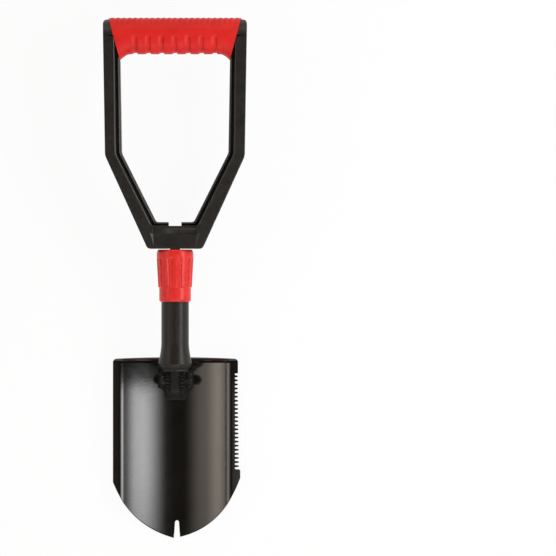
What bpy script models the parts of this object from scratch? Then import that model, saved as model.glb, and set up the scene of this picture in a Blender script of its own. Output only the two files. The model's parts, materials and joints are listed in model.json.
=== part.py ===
"""Tri-fold camp shovel with a D-handle, a locking collar and a toothed blade hinge.

The pieces are drawn in a tool frame: X across the blade, Y along the shaft towards the grip, Z out of
the scoop, with the handle's pivot at the origin. The opened shovel is then laid on its back, so that it
rests on the heel of the blade and the tops of the handle's arms, with the ground at Z = 0.
"""

import math

import bmesh
import bpy
from mathutils import Matrix, Vector

MM = 0.001

# Gaps and facets
FIT = 0.3 * MM
ROUND_STEPS = 32
FINE_STEPS = 48
SMOOTH_ANGLE = math.radians(35)
JOIN_OVERLAP = 1.0 * MM
CUT_REACH = 40 * MM

# Handle frame, front view
HANDLE_DEPTH = 38 * MM
ARM_TOP_Y = 247 * MM
ARM_TOP_HALF = 82.5 * MM
ARM_TOP_WIDTH = 6.2 * MM
BEND_Y = 90.5 * MM
BEND_HALF = 79.9 * MM
FOOT_Y = -16.2 * MM
FOOT_HALF = 31.2 * MM
FOOT_ROUND = 3 * MM
ARM_TOP_ROUND = 6 * MM
ARM_WIDTH = 18.7 * MM
INNER_BEND_Y = 93.6 * MM
INNER_FOOT_Y = 14.4 * MM
INNER_FOOT_HALF = 21.5 * MM

# Handle frame, moulded section
RIM_WIDTH = 12.6 * MM
RIM_WALL = 2.5 * MM
WEB_WALL = 3 * MM
FLANGE_SETBACK = 9 * MM
RIB_WALL = 2 * MM
STRAIGHT_RIB_FIRST = 33 * MM
STRAIGHT_RIBS = 8
SLOPE_RIBS = 5
SLOPE_RIB_PITCH = 16.5 * MM
BOLT_BAY_HALF = 11.5 * MM
BOLT_SEAT_X = 25 * MM

# Handle hinge
TONGUE_SLOT = 14.6 * MM
FRONT_PLATE = 5 * MM
FRONT_PLATE_TOP_Y = 10 * MM
KNUCKLE_R = 16.7 * MM
KNUCKLE_HALF = 22 * MM
HANDLE_BOLT_R = 4 * MM
HANDLE_HEAD_R = 5.75 * MM
HANDLE_HEAD_LENGTH = 5 * MM
HANDLE_NUT_R = 6.6 * MM
HANDLE_NUT_LENGTH = 5.5 * MM
BOLT_TAIL = 1.5 * MM
WASHER_THICK = 1.2 * MM
HANDLE_WASHER_R = 7.2 * MM
FRICTION_WASHER_THICK = 1.0 * MM
FRICTION_WASHER_R = 9 * MM
BUSH_WALL = 1.4 * MM
HANDLE_EYE_R = 10 * MM

# Grip
GRIP_PROUD = 2 * MM
GRIP_HEIGHT = 42.1 * MM
GRIP_END_HEIGHT = 49 * MM
GRIP_SQUARENESS = 2.3
GRIP_FLARE = 10 * MM
FINGER_PITCH = 15.4 * MM
FINGER_DEPTH = 1.2 * MM
GRIP_CORE_R = 11 * MM
GRIP_STATIONS = 42
GRIP_RING = 20

# Shaft core
CORE_R = 8.5 * MM
CORE_BORE_R = 5.5 * MM
CORE_TOP_Y = -34 * MM
CORE_END_Y = -148 * MM
NECK_R = 11 * MM
NECK_TOP_Y = -20 * MM
TONGUE_NECK_HALF = 9 * MM
SPIGOT_LENGTH = 26 * MM
CROSS_PIN_R = 2 * MM
CROSS_PIN_INSET = 15 * MM
GUIDE_LENGTH = 12 * MM
UPPER_GUIDE_Y = -86 * MM
LOWER_GUIDE_Y = -136 * MM

# Sleeve
SLEEVE_R = 15.8 * MM
SLEEVE_BORE_R = 12 * MM
SLEEVE_TOP_Y = -36.5 * MM
SLEEVE_END_Y = -155 * MM
LIP_END_Y = -154.3 * MM
LIP_END_R = 15.1 * MM
SKIRT_R = 14.7 * MM
SKIRT_WALL = 1.3 * MM
SKIRT_END_Y = -157 * MM
THREAD_R = 14.6 * MM
THREAD_END_Y = -62 * MM
FLARE_START_Y = -126 * MM
FLARE_Y = -148 * MM
FLARE_R = 19.7 * MM
FLARE_STEPS = 6

# Locking collar
COLLAR_TOP_Y = -17.1 * MM
COLLAR_END_Y = -77 * MM
COLLAR_TOP_R = 19 * MM
COLLAR_SHOULDER_Y = -24 * MM
COLLAR_SHOULDER_R = 21.2 * MM
COLLAR_STEP_Y = -59.7 * MM
COLLAR_STEP_R = 19.3 * MM
COLLAR_BAND_R = 18.25 * MM
COLLAR_CHAMFER = 1.9 * MM
COLLAR_BORE_R = 12 * MM
COLLAR_CAP = 9.5 * MM
COLLAR_RIBS = 12
COLLAR_RIB_HEIGHT = 1.2 * MM
COLLAR_RIB_WIDTH = 4.9 * MM
COLLAR_RIB_FOOT = 0.1 * MM
COLLAR_RIB_TOP_Y = -27.8 * MM
RING_THICK = 2.7 * MM
RING_R = 14.5 * MM
INSERT_R = 16.9 * MM
INSERT_LIP = 2.3 * MM
INSERT_END_Y = -57.7 * MM

# Blade hinge
BLADE_PIN_Y = -167.7 * MM
BLADE_TONGUE = 10.8 * MM
BLADE_TONGUE_HALF = 8.5 * MM
BLADE_TONGUE_END_Y = -185 * MM
BLADE_BOLT_R = 3 * MM
BLADE_HEAD_R = 5.5 * MM
BLADE_HEAD_LENGTH = 5 * MM
BLADE_NUT_R = 5.6 * MM
BLADE_NUT_LENGTH = 5 * MM
BLADE_WASHER_R = 6.2 * MM
CHEEK_GAP = 0.4 * MM
CHEEK_THICK = 4.8 * MM
GEAR_TEETH = 18
GEAR_TOOTH_HEIGHT = 2.6 * MM
GEAR_FIRST_TOOTH = -2
GEAR_LAST_TOOTH = 10
CHEEK_FOOT_FRONT = 10 * MM
CHEEK_FOOT_BACK = 22.3 * MM
CHEEK_WAIST_BACK = 12 * MM
CHEEK_WAIST_DROP = 21 * MM
BASE_THICK = 3 * MM
BASE_HALF = 20 * MM
BASE_TOWARDS_SLEEVE = 12 * MM
BASE_WING_TOWARDS_TIP = 10.3 * MM
BASE_WING_SLANT = 1.5 * MM
BASE_TOWARDS_TIP = 22.8 * MM
BASE_FOOT_HALF = 13.4 * MM
BASE_TOE_HALF = 11.4 * MM
RIVET_R = 2.5 * MM
RIVET_HEAD_R = 4 * MM
RIVET_HEAD = 1.5 * MM
RIVET_X = 15.4 * MM
RIVET_INSET = 6 * MM

# Blade
BLADE_THICK = 2 * MM
BLADE_HALF = 72 * MM
BLADE_TOP_Y = -141 * MM
BLADE_TOP_DIP = 1.7 * MM
BLADE_TIP_Y = -349.3 * MM
CREASE_HALF = 61.2 * MM
FLANGE_Z = -21.5 * MM
DISH_DEPTH = 10.5 * MM
DISH_STEPS = 20
ROLL_WIDTH = 6.5 * MM
ROLL_R = 7 * MM
TOE_START_Y = -250 * MM
TOE_LIFT = 3 * MM
TIP_RIGHT_Y = -348 * MM
LEFT_SHOULDER_Y = -284.6 * MM
LEFT_PULL_HALF = 52 * MM
LEFT_PULL_Y = -335.5 * MM
EAR_HALF = 74.6 * MM
EAR_TOP_Y = -270 * MM
EAR_END_Y = -279.7 * MM
RIGHT_PULL_HALF = 54 * MM
RIGHT_PULL_Y = -336.5 * MM
CURVE_STEPS = 14
SAW_TOP_Y = -160.5 * MM
SAW_PITCH = 4.7 * MM
SAW_DEPTH = 3.2 * MM
NOTCH_X = 1.6 * MM
NOTCH_TOP_Y = -329 * MM
NOTCH_TOP_WIDTH = 4.4 * MM
NOTCH_MOUTH_WIDTH = 7.1 * MM
CORNER_ROUND = 4 * MM

# Worked out from the sizes above
HANDLE_HALF = HANDLE_DEPTH / 2
ARM_END_Y = ARM_TOP_Y - HANDLE_HALF
HANDLE_TONGUE = TONGUE_SLOT - 2 * (FRICTION_WASHER_THICK + 2 * FIT)
INNER_BEND_HALF = BEND_HALF - ARM_WIDTH
FLANGE_STEP = ARM_WIDTH - RIM_WIDTH
POCKET_DEPTH = RIM_WIDTH - WEB_WALL
POCKET_HALF = HANDLE_HALF - RIM_WALL
ARM_LEAN = (ARM_TOP_HALF - BEND_HALF) / (ARM_TOP_Y - BEND_Y)
GRIP_TOP_Y = ARM_TOP_Y + GRIP_PROUD
GRIP_TIP_Y = GRIP_TOP_Y - GRIP_END_HEIGHT
GRIP_UNDER_Y = GRIP_TOP_Y - GRIP_HEIGHT
GRIP_TOP_HALF = ARM_TOP_HALF - ARM_TOP_WIDTH
GRIP_TIP_HALF = BEND_HALF + ARM_LEAN * (GRIP_TIP_Y - BEND_Y) - ARM_WIDTH
GRIP_LEAN = (GRIP_TOP_HALF - GRIP_TIP_HALF) / (GRIP_TOP_Y - GRIP_TIP_Y)
GRIP_CORE_Y = (GRIP_TOP_Y + GRIP_UNDER_Y) / 2
HANDLE_BUSH_R = HANDLE_BOLT_R + FIT + BUSH_WALL
BLADE_BUSH_R = BLADE_BOLT_R + FIT + BUSH_WALL
DISH_Z = FLANGE_Z - DISH_DEPTH
DISH_R = (CREASE_HALF ** 2 + DISH_DEPTH ** 2) / (2 * DISH_DEPTH)
SAW_TEETH = int((SAW_TOP_Y - EAR_TOP_Y) / SAW_PITCH)
CHEEK_IN = BLADE_TONGUE / 2 + CHEEK_GAP
CHEEK_OUT = CHEEK_IN + CHEEK_THICK
GEAR_R = BLADE_PIN_Y * -1 + SLEEVE_END_Y - FIT
RING_TOP_Y = COLLAR_TOP_Y - COLLAR_CAP - FIT
INSERT_TOP_Y = RING_TOP_Y - RING_THICK - 2 * FIT


# Building helpers

def clear_scene():
    for obj in list(bpy.data.objects):
        bpy.data.objects.remove(obj)


def collection(name):
    made = bpy.data.collections.new(name)
    bpy.context.scene.collection.children.link(made)
    return made


clear_scene()
PARTS = collection("camp_shovel")


def mesh_object(name, bm):
    """Turn a bmesh into a linked object with its faces pointing out."""
    bmesh.ops.recalc_face_normals(bm, faces=bm.faces)
    mesh = bpy.data.meshes.new(name)
    bm.to_mesh(mesh)
    bm.free()
    obj = bpy.data.objects.new(name, mesh)
    PARTS.objects.link(obj)
    return obj


def evaluated_mesh(obj):
    bpy.context.view_layer.update()
    graph = bpy.context.evaluated_depsgraph_get()
    return bpy.data.meshes.new_from_object(obj.evaluated_get(graph))


def settle(obj):
    """Replace an object's mesh by what its modifiers make of it."""
    made = evaluated_mesh(obj)
    obj.modifiers.clear()
    obj.data = made
    return obj


def combine(target, tool, operation):
    """Cut, join or intersect the target with a tool, which is then removed."""
    step = target.modifiers.new(operation, "BOOLEAN")
    step.operation = operation
    step.object = tool
    settle(target)
    bpy.data.objects.remove(tool)
    return target


def cut(target, tool):
    return combine(target, tool, "DIFFERENCE")


def join(target, tool):
    return combine(target, tool, "UNION")


def keep_inside(target, tool):
    return combine(target, tool, "INTERSECT")


def box(name, low, high):
    low = Vector(low)
    size = Vector(high) - low
    bm = bmesh.new()
    bmesh.ops.create_cube(bm, size=1)
    place = Matrix.Translation(low + size / 2) @ Matrix.Diagonal((*size, 1))
    bmesh.ops.transform(bm, matrix=place, verts=bm.verts)
    return mesh_object(name, bm)


def bar_across(name, radius, x_low, x_high, y=0.0, segments=24):
    """A round or many-sided bar along X, at a height y on the shaft's axis."""
    bm = bmesh.new()
    bmesh.ops.create_cone(bm, cap_ends=True, segments=segments, radius1=radius, radius2=radius,
                          depth=x_high - x_low)
    place = Matrix.Translation(((x_low + x_high) / 2, y, 0)) @ Matrix.Rotation(math.pi / 2, 4, "Y")
    bmesh.ops.transform(bm, matrix=place, verts=bm.verts)
    return mesh_object(name, bm)


def ring_across(name, bore, radius, x_low, x_high, y=0.0):
    ring = bar_across(name, radius, x_low, x_high, y)
    return cut(ring, bar_across("bore", bore, x_low - CUT_REACH, x_high + CUT_REACH, y))


def turned(name, profile, steps=ROUND_STEPS):
    """Turn (radius, y) points about the shaft's axis: a loop, or a chain that ends on the axis."""
    bm = bmesh.new()
    points = [bm.verts.new((radius, y, 0)) for radius, y in profile]
    pairs = list(zip(points, points[1:]))
    if profile[0][0] > 0:
        pairs.append((points[-1], points[0]))
    for pair in pairs:
        bm.edges.new(pair)
    obj = mesh_object(name, bm)
    turn = obj.modifiers.new("turn", "SCREW")
    turn.axis = "Y"
    turn.steps = steps
    turn.render_steps = steps
    turn.use_merge_vertices = True
    turn.merge_threshold = 0.00001
    settle(obj)
    bm = bmesh.new()
    bm.from_mesh(obj.data)
    bmesh.ops.remove_doubles(bm, verts=bm.verts, dist=0.000001)
    bmesh.ops.recalc_face_normals(bm, faces=bm.faces)
    bm.to_mesh(obj.data)
    bm.free()
    return obj


def plate(name, outline, low, high, across=False):
    """Extrude a flat outline: (x, y) points along Z, or (y, z) points along X where across is set."""
    curve = bpy.data.curves.new(name, "CURVE")
    curve.dimensions = "2D"
    curve.fill_mode = "BOTH"
    curve.extrude = (high - low) / 2
    spline = curve.splines.new("POLY")
    spline.points.add(len(outline) - 1)
    for point, (u, v) in zip(spline.points, outline):
        point.co = (u, v, 0, 1)
    spline.use_cyclic_u = True
    flat = bpy.data.objects.new(name, curve)
    PARTS.objects.link(flat)
    bm = bmesh.new()
    bm.from_mesh(evaluated_mesh(flat))
    bpy.data.objects.remove(flat)
    bmesh.ops.remove_doubles(bm, verts=bm.verts, dist=0.000001)
    place = Matrix.Translation((0, 0, (low + high) / 2))
    if across:
        place = Matrix(((0, 0, 1, 0), (1, 0, 0, 0), (0, 1, 0, 0), (0, 0, 0, 1))) @ place
    bmesh.ops.transform(bm, matrix=place, verts=bm.verts)
    return mesh_object(name, bm)


def arc(centre, radius, start, end, count):
    """Points on a circle between two angles in degrees, both ends included."""
    angles = [math.radians(start + (end - start) * i / count) for i in range(count + 1)]
    return [(centre[0] + radius * math.cos(a), centre[1] + radius * math.sin(a)) for a in angles]


def bent(start, pull, end, count):
    """Points along a curve from start to end that is drawn towards the pull point."""
    start, pull, end = Vector(start), Vector(pull), Vector(end)
    steps = [i / count for i in range(count + 1)]
    return [tuple((1 - t) ** 2 * start + 2 * t * (1 - t) * pull + t * t * end) for t in steps]


def corner(before, at, after, size, count=4):
    """Points that round a corner of an outline."""
    at = Vector(at)
    start = at + (Vector(before) - at).normalized() * size
    end = at + (Vector(after) - at).normalized() * size
    return bent(start, at, end, count)


def mirrored(right_side):
    """Close an outline whose right half runs from the bottom to the top."""
    return list(right_side) + [(-x, y) for x, y in reversed(right_side)]


def finish(name, colour, roughness, metallic=0.0):
    material = bpy.data.materials.new(name)
    material.use_nodes = True
    shader = material.node_tree.nodes["Principled BSDF"]
    shader.inputs["Base Color"].default_value = (*colour, 1)
    shader.inputs["Roughness"].default_value = roughness
    shader.inputs["Metallic"].default_value = metallic
    return material


BLACK_PLASTIC = finish("black_plastic", (0.025, 0.023, 0.02), 0.5)
GRIP_RED = finish("grip_red", (0.66, 0.025, 0.02), 0.5)
COLLAR_RED = finish("collar_red", (0.75, 0.03, 0.03), 0.4)
BLADE_BLACK = finish("blade_black", (0.012, 0.011, 0.01), 0.22)
HINGE_BLACK = finish("hinge_black", (0.012, 0.012, 0.012), 0.4)
STEEL = finish("steel", (0.5, 0.5, 0.5), 0.35, 1.0)
ALUMINIUM = finish("aluminium", (0.6, 0.6, 0.62), 0.4, 1.0)
WHITE_BUSH = finish("bush_plastic", (0.6, 0.58, 0.52), 0.5)


def empty(name, location, parent=None):
    made = bpy.data.objects.new(name, None)
    PARTS.objects.link(made)
    made.location = location
    made.parent = parent
    return made


TOOL = empty("tool_frame", (0, 0, 0))
SHAFT = empty("shaft_axis", (0, 0, 0), TOOL)
HANDLE_HINGE = empty("handle_hinge", (0, 0, 0), TOOL)
BLADE_HINGE = empty("blade_hinge", (0, BLADE_PIN_Y, 0), TOOL)


def hang(obj, carrier, material):
    """Finish a piece and put its origin on the axis that it turns about."""
    obj.data.transform(Matrix.Translation(-carrier.location))
    obj.parent = carrier
    obj.data.materials.clear()
    obj.data.materials.append(material)
    obj.data.shade_smooth()
    obj.data.set_sharp_from_angle(angle=SMOOTH_ANGLE)
    return obj


# Shaft core

def core_tube():
    tube = turned("core_tube", [
        (CORE_BORE_R, CORE_TOP_Y), (CORE_R, CORE_TOP_Y), (CORE_R, CORE_END_Y), (CORE_BORE_R, CORE_END_Y),
    ])
    for y in cross_pin_heights():
        cut(tube, bar_across("pin_hole", CROSS_PIN_R + FIT, -CUT_REACH, CUT_REACH, y))
    hang(tube, SHAFT, ALUMINIUM)


def cross_pin_heights():
    return CORE_TOP_Y - CROSS_PIN_INSET, CORE_END_Y + CROSS_PIN_INSET


def handle_eye():
    """The handle's tongue: an eye at the pivot, a round neck and a spigot in the core tube."""
    waist_y = NECK_TOP_Y - JOIN_OVERLAP
    outline = [(waist_y, -TONGUE_NECK_HALF)]
    outline += arc((0, 0), HANDLE_EYE_R, -100, 100, 16)
    outline += [(waist_y, TONGUE_NECK_HALF)]
    eye = plate("handle_eye", outline, -HANDLE_TONGUE / 2, HANDLE_TONGUE / 2, across=True)
    neck_end = CORE_TOP_Y + FIT
    spigot_end = CORE_TOP_Y - SPIGOT_LENGTH
    spigot_r = CORE_BORE_R - FIT
    join(eye, turned("neck", [
        (0, NECK_TOP_Y), (NECK_R, NECK_TOP_Y), (NECK_R, neck_end), (spigot_r, neck_end),
        (spigot_r, spigot_end), (0, spigot_end),
    ]))
    cut(eye, bar_across("bush_hole", HANDLE_BUSH_R + FIT, -CUT_REACH, CUT_REACH))
    cut(eye, bar_across("pin_hole", CROSS_PIN_R + FIT, -CUT_REACH, CUT_REACH, cross_pin_heights()[0]))
    hang(eye, SHAFT, STEEL)


def blade_eye():
    """The blade's tongue: a round-ended bar below the sleeve, with a spigot in the core tube."""
    top_y = CORE_END_Y - FIT
    round_y = BLADE_TONGUE_END_Y + BLADE_TONGUE_HALF
    outline = [(top_y, BLADE_TONGUE_HALF)]
    outline += arc((round_y, 0), BLADE_TONGUE_HALF, 90, 270, 14)
    outline += [(top_y, -BLADE_TONGUE_HALF)]
    eye = plate("blade_eye", outline, -BLADE_TONGUE / 2, BLADE_TONGUE / 2, across=True)
    spigot_r = CORE_BORE_R - FIT
    join(eye, turned("spigot", [
        (0, CORE_END_Y + SPIGOT_LENGTH), (spigot_r, CORE_END_Y + SPIGOT_LENGTH),
        (spigot_r, top_y - JOIN_OVERLAP), (0, top_y - JOIN_OVERLAP),
    ], 20))
    cut(eye, bar_across("bush_hole", BLADE_BUSH_R + FIT, -CUT_REACH, CUT_REACH, BLADE_PIN_Y))
    cut(eye, bar_across("pin_hole", CROSS_PIN_R + FIT, -CUT_REACH, CUT_REACH, cross_pin_heights()[1]))
    hang(eye, SHAFT, HINGE_BLACK)


def shaft_small_pieces():
    """Cross pins, eye bushes, guide bushes and the ring that holds the collar."""
    for name, y in zip(("handle_eye_pin", "blade_eye_pin"), cross_pin_heights()):
        hang(bar_across(name, CROSS_PIN_R, -CORE_R + FIT, CORE_R - FIT, y, 16), SHAFT, STEEL)
    half = HANDLE_TONGUE / 2
    bush = ring_across("handle_eye_bush", HANDLE_BOLT_R + FIT, HANDLE_BUSH_R, -half, half)
    hang(bush, SHAFT, WHITE_BUSH)
    half = BLADE_TONGUE / 2
    bush = ring_across("blade_eye_bush", BLADE_BOLT_R + FIT, BLADE_BUSH_R, -half, half, BLADE_PIN_Y)
    hang(bush, SHAFT, WHITE_BUSH)
    for name, y in (("upper_guide_bush", UPPER_GUIDE_Y), ("lower_guide_bush", LOWER_GUIDE_Y)):
        inner, outer = CORE_R + FIT, SLEEVE_BORE_R - FIT
        top, end = y + GUIDE_LENGTH / 2, y - GUIDE_LENGTH / 2
        hang(turned(name, [(inner, top), (outer, top), (outer, end), (inner, end)]), SHAFT, WHITE_BUSH)
    end = RING_TOP_Y - RING_THICK
    ring = turned("collar_ring", [
        (NECK_R + FIT, RING_TOP_Y), (RING_R, RING_TOP_Y), (RING_R, end), (NECK_R + FIT, end),
    ])
    hang(ring, SHAFT, STEEL)


# Sleeve and collar

def shaft_sleeve():
    """The black outer tube with its threaded top, its flared lower end and the skirt around the gears."""
    flare = bent((SLEEVE_R, FLARE_START_Y), (SLEEVE_R, (FLARE_START_Y + FLARE_Y) / 2),
                 (FLARE_R, FLARE_Y), FLARE_STEPS)
    lip_pull = (FLARE_R, (FLARE_Y + LIP_END_Y) / 2)
    lip = bent((FLARE_R, FLARE_Y), lip_pull, (LIP_END_R, LIP_END_Y), FLARE_STEPS)
    skirt_bore = SKIRT_R - SKIRT_WALL
    sleeve = turned("shaft_sleeve", [
        (SLEEVE_BORE_R, SLEEVE_TOP_Y), (THREAD_R, SLEEVE_TOP_Y), (THREAD_R, THREAD_END_Y),
        (SLEEVE_R, THREAD_END_Y), *flare, *lip[1:], (SKIRT_R, LIP_END_Y), (SKIRT_R, SKIRT_END_Y),
        (skirt_bore, SKIRT_END_Y), (skirt_bore, SLEEVE_END_Y), (SLEEVE_BORE_R, SLEEVE_END_Y),
    ])
    hang(sleeve, SHAFT, BLACK_PLASTIC)


def collar_valley(turn):
    """A cutter for the flat between two of the collar's ribs, which runs out on to the plain band."""
    pitch = 2 * math.pi / COLLAR_RIBS
    width = COLLAR_BAND_R * pitch - COLLAR_RIB_WIDTH
    band_y = COLLAR_STEP_Y - (COLLAR_STEP_R - COLLAR_BAND_R)
    top_floor = COLLAR_SHOULDER_R - COLLAR_RIB_HEIGHT
    end_floor = COLLAR_BAND_R + COLLAR_RIB_FOOT
    taper = (top_floor - end_floor) / (COLLAR_SHOULDER_Y - band_y)
    start_floor = end_floor + taper * (COLLAR_RIB_TOP_Y - band_y)
    outline = [(band_y, end_floor), (COLLAR_RIB_TOP_Y, start_floor), (COLLAR_RIB_TOP_Y, CUT_REACH),
               (band_y, CUT_REACH)]
    valley = plate("valley", outline, -width / 2, width / 2, across=True)
    valley.data.transform(Matrix.Rotation(turn, 4, "Y"))
    return valley


def lock_collar():
    """The red ribbed collar, turned with its inner steps, with the flats between its ribs cut in."""
    dome = bent((COLLAR_TOP_R, COLLAR_TOP_Y), (COLLAR_SHOULDER_R, COLLAR_TOP_Y - 2 * MM),
                (COLLAR_SHOULDER_R, COLLAR_SHOULDER_Y), 5)
    ring_room = RING_R + FIT
    insert_room = INSERT_R + FIT
    insert_top = INSERT_TOP_Y + FIT
    insert_end = INSERT_END_Y - FIT
    sleeve_room = SLEEVE_R + FIT
    cap_end = COLLAR_TOP_Y - COLLAR_CAP
    collar = turned("lock_collar", [
        (COLLAR_BORE_R, COLLAR_TOP_Y), *dome, (COLLAR_STEP_R, COLLAR_STEP_Y),
        (COLLAR_BAND_R, COLLAR_STEP_Y - (COLLAR_STEP_R - COLLAR_BAND_R)),
        (COLLAR_BAND_R, COLLAR_END_Y + COLLAR_CHAMFER), (COLLAR_BAND_R - COLLAR_CHAMFER, COLLAR_END_Y),
        (sleeve_room, COLLAR_END_Y), (sleeve_room, insert_end), (insert_room, insert_end),
        (insert_room, insert_top), (ring_room, insert_top), (ring_room, cap_end), (COLLAR_BORE_R, cap_end),
    ], FINE_STEPS)
    for i in range(COLLAR_RIBS):
        cut(collar, collar_valley(2 * math.pi * (i + 0.5) / COLLAR_RIBS))
    hang(collar, SHAFT, COLLAR_RED)
    thread_room = THREAD_R + FIT
    lip_end = INSERT_TOP_Y - INSERT_LIP
    lip_r = SLEEVE_BORE_R + FIT
    insert = turned("thread_insert", [
        (lip_r, INSERT_TOP_Y), (INSERT_R, INSERT_TOP_Y), (INSERT_R, INSERT_END_Y),
        (thread_room, INSERT_END_Y), (thread_room, lip_end), (lip_r, lip_end),
    ])
    hang(insert, SHAFT, ALUMINIUM)


# Handle

def grip_edge(y):
    """Where the grip's slanted end meets the arm, across the handle."""
    return GRIP_TIP_HALF + GRIP_LEAN * (y - GRIP_TIP_Y)


def handle_outline():
    foot = corner((0, FOOT_Y), (FOOT_HALF, FOOT_Y), (BEND_HALF, BEND_Y), FOOT_ROUND)
    inner_top = grip_edge(ARM_TOP_Y)
    top_round = min(ARM_TOP_ROUND, ARM_TOP_HALF - inner_top - FIT)
    top = corner((BEND_HALF, BEND_Y), (ARM_TOP_HALF, ARM_TOP_Y), (0, ARM_TOP_Y), top_round)
    outer = [*foot, (BEND_HALF, BEND_Y), *top]
    inner = [(inner_top, ARM_TOP_Y), (GRIP_TIP_HALF, GRIP_TIP_Y),
             (INNER_BEND_HALF, INNER_BEND_Y), (INNER_FOOT_HALF, INNER_FOOT_Y)]
    return mirrored(outer + inner)


def front_opening():
    """The wider opening in the front rim, which leaves the inner flange set back behind it."""
    slope = (INNER_BEND_HALF - INNER_FOOT_HALF) / (INNER_BEND_Y - INNER_FOOT_Y)
    stretch = FLANGE_STEP * math.hypot(1, slope)
    foot_half = INNER_FOOT_HALF + stretch - slope * (INNER_FOOT_Y - FRONT_PLATE_TOP_Y)
    bend_half = INNER_BEND_HALF + FLANGE_STEP
    bend_y = INNER_BEND_Y - (stretch - FLANGE_STEP) / slope
    top_y = GRIP_TIP_Y + FLANGE_STEP / GRIP_LEAN
    return mirrored([(foot_half, FRONT_PLATE_TOP_Y), (bend_half, bend_y), (grip_edge(top_y), top_y),
                     (GRIP_TIP_HALF / 2, ARM_TOP_Y)])


def arm_pocket(side, foot, direction, start, end):
    """A box that opens one bay of an arm's outer channel, between two ribs."""
    inward = Vector((-direction.y, direction.x))
    bm = bmesh.new()
    bmesh.ops.create_cube(bm, size=1)
    middle = foot + direction * (start + end) / 2 + inward * (POCKET_DEPTH - CUT_REACH / 2)
    lean = Matrix.Rotation(math.atan2(direction.y, direction.x), 4, "Z")
    size = Matrix.Diagonal((end - start, CUT_REACH, 2 * POCKET_HALF, 1))
    place = Matrix.Scale(side, 4, (1, 0, 0)) @ Matrix.Translation((middle.x, middle.y, 0)) @ lean @ size
    bmesh.ops.transform(bm, matrix=place, verts=bm.verts)
    return mesh_object("pocket", bm)


def cut_arm_pockets(frame):
    bend = Vector((BEND_HALF, BEND_Y))
    up = Vector((ARM_TOP_HALF, ARM_TOP_Y)) - bend
    straight = up.length
    up.normalize()
    down = bend - Vector((FOOT_HALF, FOOT_Y))
    slope = down.length
    down.normalize()
    first_rib = straight - STRAIGHT_RIB_FIRST
    pitch = first_rib / (STRAIGHT_RIBS - 1)
    half_rib = RIB_WALL / 2
    crown = [(BEND_Y + first_rib + half_rib, -POCKET_HALF)]
    crown += arc((ARM_END_Y, 0), POCKET_HALF, -90, 90, 16)
    crown += [(BEND_Y + first_rib + half_rib, POCKET_HALF)]
    for side in (1, -1):
        for i in range(STRAIGHT_RIBS - 1):
            cut(frame, arm_pocket(side, bend, up, i * pitch + half_rib, (i + 1) * pitch - half_rib))
        for i in range(SLOPE_RIBS):
            top = slope - i * SLOPE_RIB_PITCH - half_rib
            foot = Vector((FOOT_HALF, FOOT_Y))
            cut(frame, arm_pocket(side, foot, down, top - SLOPE_RIB_PITCH + RIB_WALL, top))
        floor = side * (grip_edge(ARM_TOP_Y) + WEB_WALL)
        far = floor + side * CUT_REACH
        cut(frame, plate("crown_pocket", crown, min(floor, far), max(floor, far), across=True))
        bay_x = sorted((side * BOLT_SEAT_X, side * (BOLT_SEAT_X + CUT_REACH)))
        cut(frame, box("bolt_bay", (bay_x[0], -BOLT_BAY_HALF, -POCKET_HALF),
                       (bay_x[1], BOLT_BAY_HALF, POCKET_HALF)))


def handle_frame():
    """The D-handle moulding: arms, crossbar with its hinge slot, and the bar inside the grip."""
    frame = plate("handle_frame", handle_outline(), -HANDLE_HALF, HANDLE_HALF)
    side_view = [(FOOT_Y - CUT_REACH, -HANDLE_HALF)]
    side_view += arc((ARM_END_Y, 0), HANDLE_HALF, -90, 90, 24)
    side_view += [(FOOT_Y - CUT_REACH, HANDLE_HALF)]
    reach = ARM_TOP_HALF + CUT_REACH
    keep_inside(frame, plate("side_view", side_view, -reach, reach, across=True))
    cut(frame, plate("front_opening", front_opening(), HANDLE_HALF - FLANGE_SETBACK, HANDLE_DEPTH))
    cut_arm_pockets(frame)
    knuckle = box("knuckle_room", (-KNUCKLE_HALF, -CUT_REACH, -CUT_REACH), (KNUCKLE_HALF, CUT_REACH, 0))
    cut(knuckle, bar_across("knuckle", KNUCKLE_R, -CUT_REACH, CUT_REACH, 0, 48))
    cut(frame, knuckle)
    half = TONGUE_SLOT / 2
    cut(frame, box("tongue_slot", (-half, -CUT_REACH, -CUT_REACH),
                   (half, CUT_REACH, HANDLE_HALF - FRONT_PLATE)))
    cut(frame, bar_across("bolt_hole", HANDLE_BOLT_R + FIT, -ARM_TOP_HALF, ARM_TOP_HALF))
    core_half = grip_edge(GRIP_CORE_Y) + JOIN_OVERLAP
    join(frame, bar_across("grip_core", GRIP_CORE_R, -core_half, core_half, GRIP_CORE_Y))
    hang(frame, HANDLE_HINGE, BLACK_PLASTIC)


def grip_underside(x):
    """Height of the grip's lower edge: finger hollows between two flared ends."""
    flare_start = GRIP_TIP_HALF - GRIP_FLARE
    if abs(x) > flare_start:
        share = (abs(x) - flare_start) / GRIP_FLARE
        return GRIP_UNDER_Y - (GRIP_UNDER_Y - GRIP_TIP_Y) * share ** 2
    fade = 1 - (abs(x) / flare_start) ** 8
    return GRIP_UNDER_Y + fade * FINGER_DEPTH * 0.5 * (1 - math.cos(2 * math.pi * x / FINGER_PITCH))


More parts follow.
